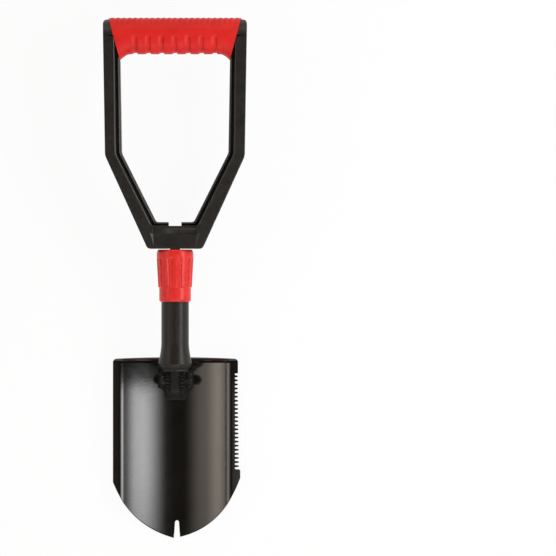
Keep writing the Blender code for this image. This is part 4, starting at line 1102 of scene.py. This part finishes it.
# %% Punch the saw and the notch
BLADE_EDGE_ROUND = 0.5
TRIM = 0.02
PUNCH_ROOM = 5
TOOTH_SHAPE = ((0.31, 0), (0.2, 0.8), (0.1, 1), (-0.1, 1), (-0.2, 0.8), (-0.31, 0))
SAW_START = (0.75, 0.65)
NOTCH_PAST_TIP = 14
RIM_ANGLE = 50
SAW_MARGIN = 5


def saw_cutter():
    """Everything outside the right edge, from the heel's corner down to the ear."""
    outside, above, flange = EAR_HALF + PUNCH_ROOM, BLADE_TOP_Y + PUNCH_ROOM, BLADE_HALF - TRIM
    edge = [(outside, above), (flange, above), (flange, SAW_FIRST_Y + SAW_PITCH * SAW_START[0]),
            (SAW_ROOT, SAW_FIRST_Y + SAW_PITCH * SAW_START[1])]
    for i in range(SAW_TEETH):
        y = SAW_FIRST_Y - i * SAW_PITCH
        tip = SAW_TIP_TOP + (SAW_TIP_FOOT - SAW_TIP_TOP) * i / (SAW_TEETH - 1)
        edge += [(SAW_ROOT + (tip - SAW_ROOT) * out, y + share * SAW_PITCH) for share, out in TOOTH_SHAPE]
    edge += [(SAW_ROOT, EAR_TOP_Y + 0.5), (EAR_HALF - 1, EAR_TOP_Y), (EAR_HALF - TRIM, EAR_TOP_Y - 1)]
    return prism([*edge, (outside, EAR_TOP_Y - 1)], FLANGE_Z - REACH, 0)


notch_r = NOTCH_TOP_WIDTH / 2
mouth = NOTCH_MOUTH_WIDTH / 2 + 1
mouth_y = BLADE_TIP_Y - NOTCH_PAST_TIP
notch = [(NOTCH_X - mouth, mouth_y), *arc((NOTCH_X, NOTCH_TOP_Y - notch_r), notch_r, 180, 0, 16),
         (NOTCH_X + mouth, mouth_y)]
carve(blade, saw_cutter())
carve(blade, prism(notch, FLANGE_Z - REACH, 0))
sheet = lift(blade, merge=0.0005)
rim = [edge for edge in sheet.edges if edge.calc_face_angle(0) > math.radians(RIM_ANGLE)
       and not all(vert.co.x > SAW_ROOT - 1 and vert.co.y < SAW_FIRST_Y + SAW_MARGIN for vert in edge.verts)]
bmesh.ops.bevel(sheet, geom=rim, offset=BLADE_EDGE_ROUND, segments=2, profile=0.5, affect="EDGES",
                clamp_overlap=True, material=-1)
seat("blade_pressing", sheet, BLADE_BLACK, "blade", ["blade"], smooth=50)

# %% [markdown]
# The hinge bracket is a base that hugs the scoop's face, with two cheeks on it. Each cheek ends in a gear
# around the bolt, whose teeth the sleeve's end presses on, and its leg spreads to a pointed foot. A cheek is
# its outline from the side, pulled across, and its foot is trimmed to the point from the front.

# %% Hinge cheeks
BLADE_PIN_Y = -167.7
CHEEK_IN = 5.8
CHEEK_OUT = 10.6
GEAR_R = 12.4
GEAR_TEETH = 18
GEAR_TOOTH_HEIGHT = 2.6
GEAR_FIRST_TOOTH = -2
GEAR_LAST_TOOTH = 10
GEAR_ROOT_SHARE = 0.36
GEAR_TIP_SHARE = 0.19
CHEEK_FOOT_FRONT = 10
CHEEK_FOOT_BACK = 22.3
CHEEK_WAIST_BACK = 12
CHEEK_WAIST_DROP = 21
CHEEK_SUNK = 1
FOOT_POINT_X = 8.6
FOOT_POINT_LENGTH = 8
BASE_THICK = 3


def cheek_outline():
    """A cheek from the side: a flat foot, the gear's teeth round the bolt, and a waist behind."""
    foot_z = DISH_Z + BASE_THICK - CHEEK_SUNK
    outline = [(BLADE_PIN_Y - CHEEK_FOOT_BACK, foot_z), (BLADE_PIN_Y + CHEEK_FOOT_FRONT, foot_z)]
    pitch = 2 * math.pi / GEAR_TEETH
    root = GEAR_R - GEAR_TOOTH_HEIGHT
    tooth_shape = ((-GEAR_ROOT_SHARE, root), (-GEAR_TIP_SHARE, GEAR_R), (GEAR_TIP_SHARE, GEAR_R),
                   (GEAR_ROOT_SHARE, root))
    for tooth in range(GEAR_FIRST_TOOTH, GEAR_LAST_TOOTH + 1):
        for share, radius in tooth_shape:
            angle = (tooth + share) * pitch
            outline.append((BLADE_PIN_Y + radius * math.cos(angle), radius * math.sin(angle)))
    outline.append((BLADE_PIN_Y - CHEEK_WAIST_BACK, -CHEEK_WAIST_DROP))
    return outline


def foot_trim(side, face_x):
    """A wedge, seen from the front, that trims one face of a cheek's foot towards its point."""
    toe_y = BLADE_PIN_Y - CHEEK_FOOT_BACK
    past = 1 if face_x > FOOT_POINT_X else -1
    wedge = [(face_x, toe_y + FOOT_POINT_LENGTH), (FOOT_POINT_X, toe_y), (FOOT_POINT_X, toe_y - 1),
             (face_x + past, toe_y - 1), (face_x + past, toe_y + FOOT_POINT_LENGTH)]
    return prism([(side * x, y) for x, y in wedge], -REACH, 0)


print("cheeks", round(CHEEK_OUT - CHEEK_IN, 1), "mm thick")

# %% [markdown]
# The bracket's base is a bent plate, a piece of the same round dish as the blade, wide where the rivets sit
# and narrow under the feet. It is pulled along the dish with room to spare and then cut to its outline from
# the front. The cheeks are joined to it, and one hole for the bolt goes through both.

# %% Join the hinge bracket
BASE_HALF = 20
BASE_TOWARDS_SLEEVE = 12
BASE_WING_TOWARDS_TIP = 10.3
BASE_WING_SLANT = 1.5
BASE_TOWARDS_TIP = 22.8
BASE_FOOT_HALF = 13.4
BASE_TOE_HALF = 11.4
BASE_CORNER = 2.5
BASE_SPARE = 2
BASE_STEPS = 24
HINGE_FIT = 0.3
BLADE_BOLT_HOLE_R = 3.3
ALONG = Matrix(((1, 0, 0, 0), (0, 0, 1, 0), (0, 1, 0, 0), (0, 0, 0, 1)))


def bent_base():
    """A plate that follows the dish, with rounded corners seen from the front."""
    low_y, high_y = BLADE_PIN_Y - BASE_TOWARDS_TIP, BLADE_PIN_Y + BASE_TOWARDS_SLEEVE
    sweep = math.degrees(math.asin((BASE_HALF + BASE_SPARE) / DISH_R))
    under = arc((0, DISH_Z + DISH_R), DISH_R - HINGE_FIT, 270 - sweep, 270 + sweep, BASE_STEPS)
    over = [(x, z + BASE_THICK) for x, z in reversed(under)]
    bm = prism(under + over, low_y - BASE_SPARE, high_y + BASE_SPARE)
    bmesh.ops.transform(bm, matrix=ALONG, verts=bm.verts)
    bmesh.ops.recalc_face_normals(bm, faces=bm.faces)
    base = work_object(bm)
    wing_y = BLADE_PIN_Y - BASE_WING_TOWARDS_TIP
    corners = mirrored([(BASE_TOE_HALF, low_y), (BASE_FOOT_HALF, wing_y),
                        (BASE_HALF, wing_y + BASE_WING_SLANT), (BASE_HALF, high_y)])
    outline = []
    for i, corner in enumerate(corners):
        outline += rounded(corners[i - 1], corner, corners[(i + 1) % len(corners)], BASE_CORNER)
    carve(base, prism(outline, -REACH, 0), "INTERSECT")
    return base


bracket = bent_base()
for side in (1, -1):
    faces = sorted((side * CHEEK_IN, side * CHEEK_OUT))
    cheek = work_object(prism(cheek_outline(), *faces, across=True))
    for face_x in (CHEEK_IN, CHEEK_OUT):
        carve(cheek, foot_trim(side, face_x))
    carve(bracket, lift(cheek), "UNION")
carve(bracket, rod(BLADE_BOLT_HOLE_R, -REACH, REACH, BLADE_PIN_Y))
seat("hinge_cheeks", lift(bracket), HINGE_BLACK, "blade", ["hinge_bracket"], bevel=0.35)

# %% [markdown]
# Two tongues stand in the hinges: one in the handle's slot, one between the cheeks. Each is a flat eye on a
# round spigot. Only the eyes show, so they get the soft edges.

# %% Tongues
BLADE_TONGUE = 10.8
BLADE_TONGUE_HALF = 8.5
BLADE_TONGUE_END_Y = -185
CORE_END_Y = -148.3
CORE_TOP_Y = -33.7
SPIGOT_R = 5.2
SPIGOT_LENGTH = 25.7
BLADE_BUSH_HOLE_R = 5
HANDLE_TONGUE = 11.4
HANDLE_EYE_R = 10
HANDLE_BUSH_HOLE_R = 6
TONGUE_NECK_HALF = 9
NECK_R = 11
NECK_TOP_Y = -20
JOIN = 1
EYE_STEPS = 32

round_y = BLADE_TONGUE_END_Y + BLADE_TONGUE_HALF
eye_outline = [(CORE_END_Y, BLADE_TONGUE_HALF), *arc((round_y, 0), BLADE_TONGUE_HALF, 90, 270, EYE_STEPS),
               (CORE_END_Y, -BLADE_TONGUE_HALF)]
spigot = [(0, CORE_END_Y + SPIGOT_LENGTH), (SPIGOT_R, CORE_END_Y + SPIGOT_LENGTH),
          (SPIGOT_R, CORE_END_Y - JOIN), (0, CORE_END_Y - JOIN)]
tongue = work_object(prism(eye_outline, -BLADE_TONGUE / 2, BLADE_TONGUE / 2, across=True))
carve(tongue, turned(spigot, 48, closed=False), "UNION")
carve(tongue, rod(BLADE_BUSH_HOLE_R, -REACH, REACH, BLADE_PIN_Y))
seat("blade_tongue", lift(tongue), HINGE_BLACK, "shaft", ["blade_eye"], bevel=0.6,
     segments=3)

waist_y = NECK_TOP_Y - JOIN
eye_outline = [(waist_y, -TONGUE_NECK_HALF), *arc((0, 0), HANDLE_EYE_R, -100, 100, EYE_STEPS),
               (waist_y, TONGUE_NECK_HALF)]
neck = [(0, NECK_TOP_Y), (NECK_R, NECK_TOP_Y), (NECK_R, CORE_TOP_Y), (SPIGOT_R, CORE_TOP_Y),
        (SPIGOT_R, CORE_TOP_Y - SPIGOT_LENGTH), (0, CORE_TOP_Y - SPIGOT_LENGTH)]
tongue = work_object(prism(eye_outline, -HANDLE_TONGUE / 2, HANDLE_TONGUE / 2, across=True))
carve(tongue, turned(neck, 64, closed=False), "UNION")
carve(tongue, rod(HANDLE_BUSH_HOLE_R, -REACH, REACH))
seat("handle_tongue", lift(tongue), DARK_ZINC, "shaft", ["handle_eye"], bevel=0.5)

# %% [markdown]
# Both hinges turn on a bolt with a domed head and a hex socket, a chamfered nut and two washers. One
# function makes each of them from its radius and length. The thread is a row of small ridges in the bolt's
# profile, since only its end shows past the nut.

# %% Fastener shapes
TO_X = Matrix.Rotation(-math.pi / 2, 4, "Z")
FASTENER_STEPS = 64
HEX = 6
WASHER_THICK = 1.2
WASHER_EDGE = 0.2
THREAD_PITCH = 1
THREAD_DEPTH = 0.5
THREAD_TURNS = 6
THREAD_LEAD_IN = 0.9
HEAD_CROWN = 0.75
HEAD_SIDE = 0.4
SOCKET_SHARE = 0.5
SOCKET_FLOOR = 0.45
NUT_CHAMFER = 0.7


def across_at(bm, y):
    """Turn a part that was spun about Y so that it lies along X, at a height on the shaft."""
    bmesh.ops.transform(bm, matrix=Matrix.Translation((0, y, 0)) @ TO_X, verts=bm.verts)
    return bm


def bolt(y, radius, head_r, head_length, clamp, tail):
    """A bolt along X: a domed head at the left with a hex socket, and a thread at the tail."""
    head_top = -clamp - head_length
    head_side = -clamp - head_length * HEAD_SIDE
    crown = bent((0, head_top), (head_r * HEAD_CROWN, head_top), (head_r, head_side), 10)
    thread = []
    for i in range(THREAD_TURNS):
        turn_y = tail - THREAD_LEAD_IN - i * THREAD_PITCH
        thread += [(radius - THREAD_DEPTH, turn_y), (radius, turn_y - THREAD_PITCH / 2)]
    profile = [*crown, (head_r, -clamp), (radius, -clamp), *reversed(thread),
               (radius - THREAD_LEAD_IN, tail), (0, tail)]
    made = work_object(across_at(turned(profile, FASTENER_STEPS, closed=False), y))
    socket_floor = -clamp - head_length * SOCKET_FLOOR
    carve(made, rod(head_r * SOCKET_SHARE, head_top - 1, socket_floor, y, sides=HEX))
    return lift(made)


def nut(y, radius, length, clamp, bore):
    """A hex nut along X: a six-sided bar trimmed by a turned body, which gives the round chamfers."""
    flat = radius * math.cos(math.pi / HEX)
    end = clamp + length
    made = work_object(rod(radius, clamp, end, y, sides=HEX))
    chamfer = (radius - flat) * NUT_CHAMFER
    body = [(0, clamp), (flat, clamp), (radius, clamp + chamfer),
            (radius, end - chamfer), (flat, end), (0, end)]
    carve(made, across_at(turned(body, FASTENER_STEPS, closed=False), y), "INTERSECT")
    carve(made, rod(bore, clamp - 1, end + 1, y))
    return lift(made)


def washer(y, low, bore, radius):
    """A washer along X, with its outer edges broken."""
    high = low + WASHER_THICK
    flat = radius - WASHER_EDGE
    profile = [(bore, low), (flat, low), (radius, low + WASHER_EDGE),
               (radius, high - WASHER_EDGE), (flat, high), (bore, high)]
    return across_at(turned(profile, FASTENER_STEPS), y)


print("fastener shapes: bolt, nut, washer")

# %% [markdown]
# The two hinge sets differ only in size, so one function places both. It stacks each set outwards from the
# seat: a fit, the washer, a fit, and then the bolt's head on the left and the nut on the right.

# %% Set the bolts
FASTENER_FIT = 0.3
BOLT_TAIL = 1.5


def hinge_set(prefix, body, y, seat_x, radius, head_r, head_length, nut_r, nut_length, washer_r):
    """Bolt, nut and two washers of one hinge."""
    seat_face = seat_x + FASTENER_FIT
    clamp = seat_face + WASHER_THICK + FASTENER_FIT
    bore = radius + FASTENER_FIT
    parts = {
        "pivot_bolt": bolt(y, radius, head_r, head_length, clamp, clamp + nut_length + BOLT_TAIL),
        "pivot_nut": nut(y, nut_r, nut_length, clamp, bore),
        "washer_left": washer(y, -seat_face - WASHER_THICK, bore, washer_r),
        "washer_right": washer(y, seat_face, bore, washer_r),
    }
    for part, bm in parts.items():
        seat(f"{prefix}_{part}_zinc", bm, DARK_ZINC, body, [f"{prefix}_{part}"], smooth=35)


hinge_set("handle", "handle_pin", 0, BOLT_SEAT_X, radius=4, head_r=5.75, head_length=5, nut_r=6.6,
          nut_length=5.5, washer_r=7.2)
hinge_set("blade", "blade", BLADE_PIN_Y, CHEEK_OUT, radius=3, head_r=5.5, head_length=5, nut_r=5.6,
          nut_length=5, washer_r=6.2)

# %% [markdown]
# Four rivets hold the bracket on the blade. They are upright spins with a domed head above and below.

# %% Rivets
RIVET_R = 2.5
RIVET_HEAD_R = 4
RIVET_HEAD = 1.5
RIVET_CROWN = 0.8
RIVET_X = 15.4
RIVET_INSET = 6
RIVET_LIFT = 0.4
RIVET_GAP = 0.6
RIVET_DOME_STEPS = 8

rivet_top = DISH_Z + BASE_THICK + 2 * HINGE_FIT + RIVET_LIFT
rivet_under = dish_height(RIVET_X) - BLADE_THICK - RIVET_GAP
peak, bottom = rivet_top + RIVET_HEAD, rivet_under - RIVET_HEAD
crown_r = RIVET_HEAD_R * RIVET_CROWN
dome_top = bent((0, peak), (crown_r, peak), (RIVET_HEAD_R, rivet_top), RIVET_DOME_STEPS)
dome_under = bent((RIVET_HEAD_R, rivet_under), (crown_r, bottom), (0, bottom), RIVET_DOME_STEPS)
rivet_profile = [*dome_top, (RIVET_R, rivet_top), (RIVET_R, rivet_under), *dome_under]
rivet_rows = {"upper": BLADE_PIN_Y + BASE_TOWARDS_SLEEVE - RIVET_INSET,
              "lower": BLADE_PIN_Y - BASE_WING_TOWARDS_TIP + RIVET_INSET}
for row, y in rivet_rows.items():
    for hand, x in (("left", -RIVET_X), ("right", RIVET_X)):
        rivet = turned(rivet_profile, 40, closed=False)
        upright = Matrix.Translation((x, y, 0)) @ Matrix.Rotation(math.pi / 2, 4, "X")
        bmesh.ops.transform(rivet, matrix=upright, verts=rivet.verts)
        node = f"rivet_{row}_{hand}"
        seat(f"{node}_head", rivet, HINGE_BLACK, "blade", [node], smooth=50)

# %% [markdown]
# What stays hidden inside keeps the frame's own solids, because their shapes are right: the core tube, pins,
# bushes and rings. They only need their finishes.

# %% Inner pieces
INNER_FINISHES = {"aluminium": ALUMINIUM, "steel": DARK_ZINC, "bush_plastic": BUSH_PLASTIC,
                  "hinge_black": HINGE_BLACK, "black_plastic": BLACK_PLASTIC, "grip_red": GRIP_RED,
                  "collar_red": COLLAR_RED, "blade_black": BLADE_BLACK}
for part in frame["record"]["subparts"]:
    solid = frame["nodes"][part["node"]]
    solid.data.materials.clear()
    solid.data.materials.append(INNER_FINISHES[part["material_slot"]])
print("finishes set on", len(frame["nodes"]), "solids")

# %% [markdown]
# The floor is a pale sheet that shows white to the camera and still takes a little of the shovel's shadow.
# Light Path does this: for rays that come from the camera, or by way of a mirror or glass, most of the paper
# is swapped for an even white glow, and the rest stays paper that a shadow can fall on.

# %% Floor
FLOOR_SIZE = 4
FLOOR_WHITE = 0.93
PAPER_GREY = 0.85
PAPER_ROUGHNESS = 0.9

floor_bm = bmesh.new()
bmesh.ops.create_grid(floor_bm, x_segments=1, y_segments=1, size=FLOOR_SIZE)
floor_mesh = bpy.data.meshes.new("floor")
floor_bm.to_mesh(floor_mesh)
floor_bm.free()
floor = bpy.data.objects.new("floor", floor_mesh)
scene.collection.objects.link(floor)

paper = bpy.data.materials.new("floor_paper")
paper.use_nodes = True
nodes, links = paper.node_tree.nodes, paper.node_tree.links
nodes["Principled BSDF"].inputs["Base Color"].default_value = (PAPER_GREY, PAPER_GREY, PAPER_GREY, 1)
nodes["Principled BSDF"].inputs["Roughness"].default_value = PAPER_ROUGHNESS
glow = nodes.new("ShaderNodeEmission")
glow.inputs["Color"].default_value = (1, 1, 1, 1)
rays = nodes.new("ShaderNodeLightPath")
sightings = rays.outputs["Is Camera Ray"]
for ray in ("Is Glossy Ray", "Is Transmission Ray"):
    either = nodes.new("ShaderNodeMath")
    either.operation = "MAXIMUM"
    links.new(sightings, either.inputs[0])
    links.new(rays.outputs[ray], either.inputs[1])
    sightings = either.outputs["Value"]
seen = nodes.new("ShaderNodeMath")
seen.operation = "MULTIPLY"
seen.inputs[1].default_value = FLOOR_WHITE
links.new(sightings, seen.inputs[0])
blend = nodes.new("ShaderNodeMixShader")
links.new(seen.outputs["Value"], blend.inputs["Fac"])
links.new(nodes["Principled BSDF"].outputs["BSDF"], blend.inputs[1])
links.new(glow.outputs["Emission"], blend.inputs[2])
links.new(blend.outputs["Shader"], nodes["Material Output"].inputs["Surface"])
floor_mesh.materials.append(paper)
print("floor", 2 * FLOOR_SIZE, "m wide")

# %% [markdown]
# The world is a studio: white near the horizon and dark overhead, where the camera stands, because a glossy
# black blade looks black only if it has something dark to mirror. A ramp on the direction's height makes it,
# and the camera itself sees plain white.

# %% World
HORIZON = (0.25, 0.75)
OVERHEAD = (0.75, 0.02)

studio = bpy.data.worlds.new("studio")
studio.use_nodes = True
scene.world = studio
nodes, links = studio.node_tree.nodes, studio.node_tree.links
direction = nodes.new("ShaderNodeTexCoord")
parts = nodes.new("ShaderNodeSeparateXYZ")
links.new(direction.outputs["Generated"], parts.inputs["Vector"])
sky = nodes.new("ShaderNodeValToRGB")
for stop, (place, level) in zip(sky.color_ramp.elements, (HORIZON, OVERHEAD)):
    stop.position = place
    stop.color = (level, level, level, 1)
links.new(parts.outputs["Z"], sky.inputs["Fac"])
backdrop = nodes.new("ShaderNodeMix")
backdrop.data_type = "RGBA"
backdrop.inputs["B"].default_value = (1, 1, 1, 1)
rays = nodes.new("ShaderNodeLightPath")
links.new(rays.outputs["Is Camera Ray"], backdrop.inputs["Factor"])
links.new(sky.outputs["Color"], backdrop.inputs["A"])
links.new(backdrop.outputs["Result"], nodes["Background"].inputs["Color"])
scene.view_settings.view_transform = "Standard"
print("world: level", HORIZON[1], "at the horizon,", OVERHEAD[1], "overhead")

# %% [markdown]
# Soft boxes light the shovel. A box is an area light whose brightness is given for its face, so that its
# size can change without changing how bright its mirror image is. A real soft box is brightest in its
# middle, so a light's own nodes can let it fade across and along.

# %% Soft box helpers
def soft_box(name, centre, target, size, radiance, colour=(1, 1, 1)):
    """An area light given by its place and aim in the tool's millimetres, and by how bright its face is."""
    light = bpy.data.lights.new(name, "AREA")
    light.shape = "RECTANGLE"
    light.size, light.size_y = size[0] * MM, size[1] * MM
    light.energy = radiance * math.pi * light.size * light.size_y
    light.color = colour
    lamp = bpy.data.objects.new(name, light)
    scene.collection.objects.link(lamp)
    place = TOOL_TO_WORLD @ Vector(centre)
    facing = place - TOOL_TO_WORLD @ Vector(target)
    lamp.matrix_world = Matrix.Translation(place) @ facing.to_track_quat("Z", "Y").to_matrix().to_4x4()
    lamp.visible_camera = False
    return light


def fade(light, across, along):
    """Shade a soft box: (place, level) stops across its width and along its length."""
    light.use_nodes = True
    nodes, links = light.node_tree.nodes, light.node_tree.links
    face = nodes.new("ShaderNodeNewGeometry")
    parts = nodes.new("ShaderNodeSeparateXYZ")
    links.new(face.outputs["Parametric"], parts.inputs["Vector"])
    both = nodes.new("ShaderNodeMath")
    both.operation = "MULTIPLY"
    for socket, axis, stops in ((0, "X", across), (1, "Y", along)):
        ramp = nodes.new("ShaderNodeValToRGB")
        ramp.color_ramp.interpolation = "EASE"
        for _ in stops[2:]:
            ramp.color_ramp.elements.new(0.5)
        for stop, (place, level) in zip(ramp.color_ramp.elements, stops):
            stop.position = place
            stop.color = (level, level, level, 1)
        links.new(parts.outputs[axis], ramp.inputs["Fac"])
        links.new(ramp.outputs["Color"], both.inputs[socket])
    links.new(both.outputs["Value"], nodes["Emission"].inputs["Strength"])


print("soft box helpers ready")

# %% [markdown]
# Two boxes hang over the blade and are placed by reflection: the left side of the dish faces right and
# mirrors the bright box there, the right side mirrors a dim warm one, and the middle mirrors the dark gap
# between them. A third, faint one lifts the blade's heel. Four larger boxes further out, one on each side,
# shape the handle, the sleeve and the collar.

# %% Soft boxes
WARM = (1, 0.88, 0.77)
BOX_Z = 620
SIDE_BOX = (900, 390)
COLLAR_AIM = (0, 80, 0)
HANDLE_AIM = (0, 200, 0)

key = soft_box("blade_key", (228, -255, BOX_Z), (228, -255, 0), (425, 260), 6.8)
fade(key, across=((0.06, 0.01), (0.5, 1), (0.62, 0.95), (0.9, 0.15)),
     along=((0.28, 0.45), (0.4, 1), (0.74, 1), (0.775, 0.03)))
heel = soft_box("blade_heel", (330, -168, BOX_Z), (330, -168, 0), (300, 64), 1.6)
fade(heel, across=((0, 0), (0.6, 1)), along=((0, 0), (0.3, 1)))
fill = soft_box("blade_fill", (-240, -255, BOX_Z), (-240, -255, 0), (380, 290), 3.3, WARM)
fade(fill, across=((0, 0.6), (0.22, 1), (0.55, 0.42), (0.95, 0)), along=((0.1, 0.6), (0.5, 1)))
soft_box("right_box", (790, 200, BOX_Z), COLLAR_AIM, SIDE_BOX, 6.0)
soft_box("left_box", (-790, 200, BOX_Z), COLLAR_AIM, SIDE_BOX, 1.8, WARM)
soft_box("top_box", (0, 950, BOX_Z), COLLAR_AIM, SIDE_BOX, 1.9, WARM)
soft_box("low_box", (0, -700, BOX_Z), HANDLE_AIM, SIDE_BOX, 2.4)
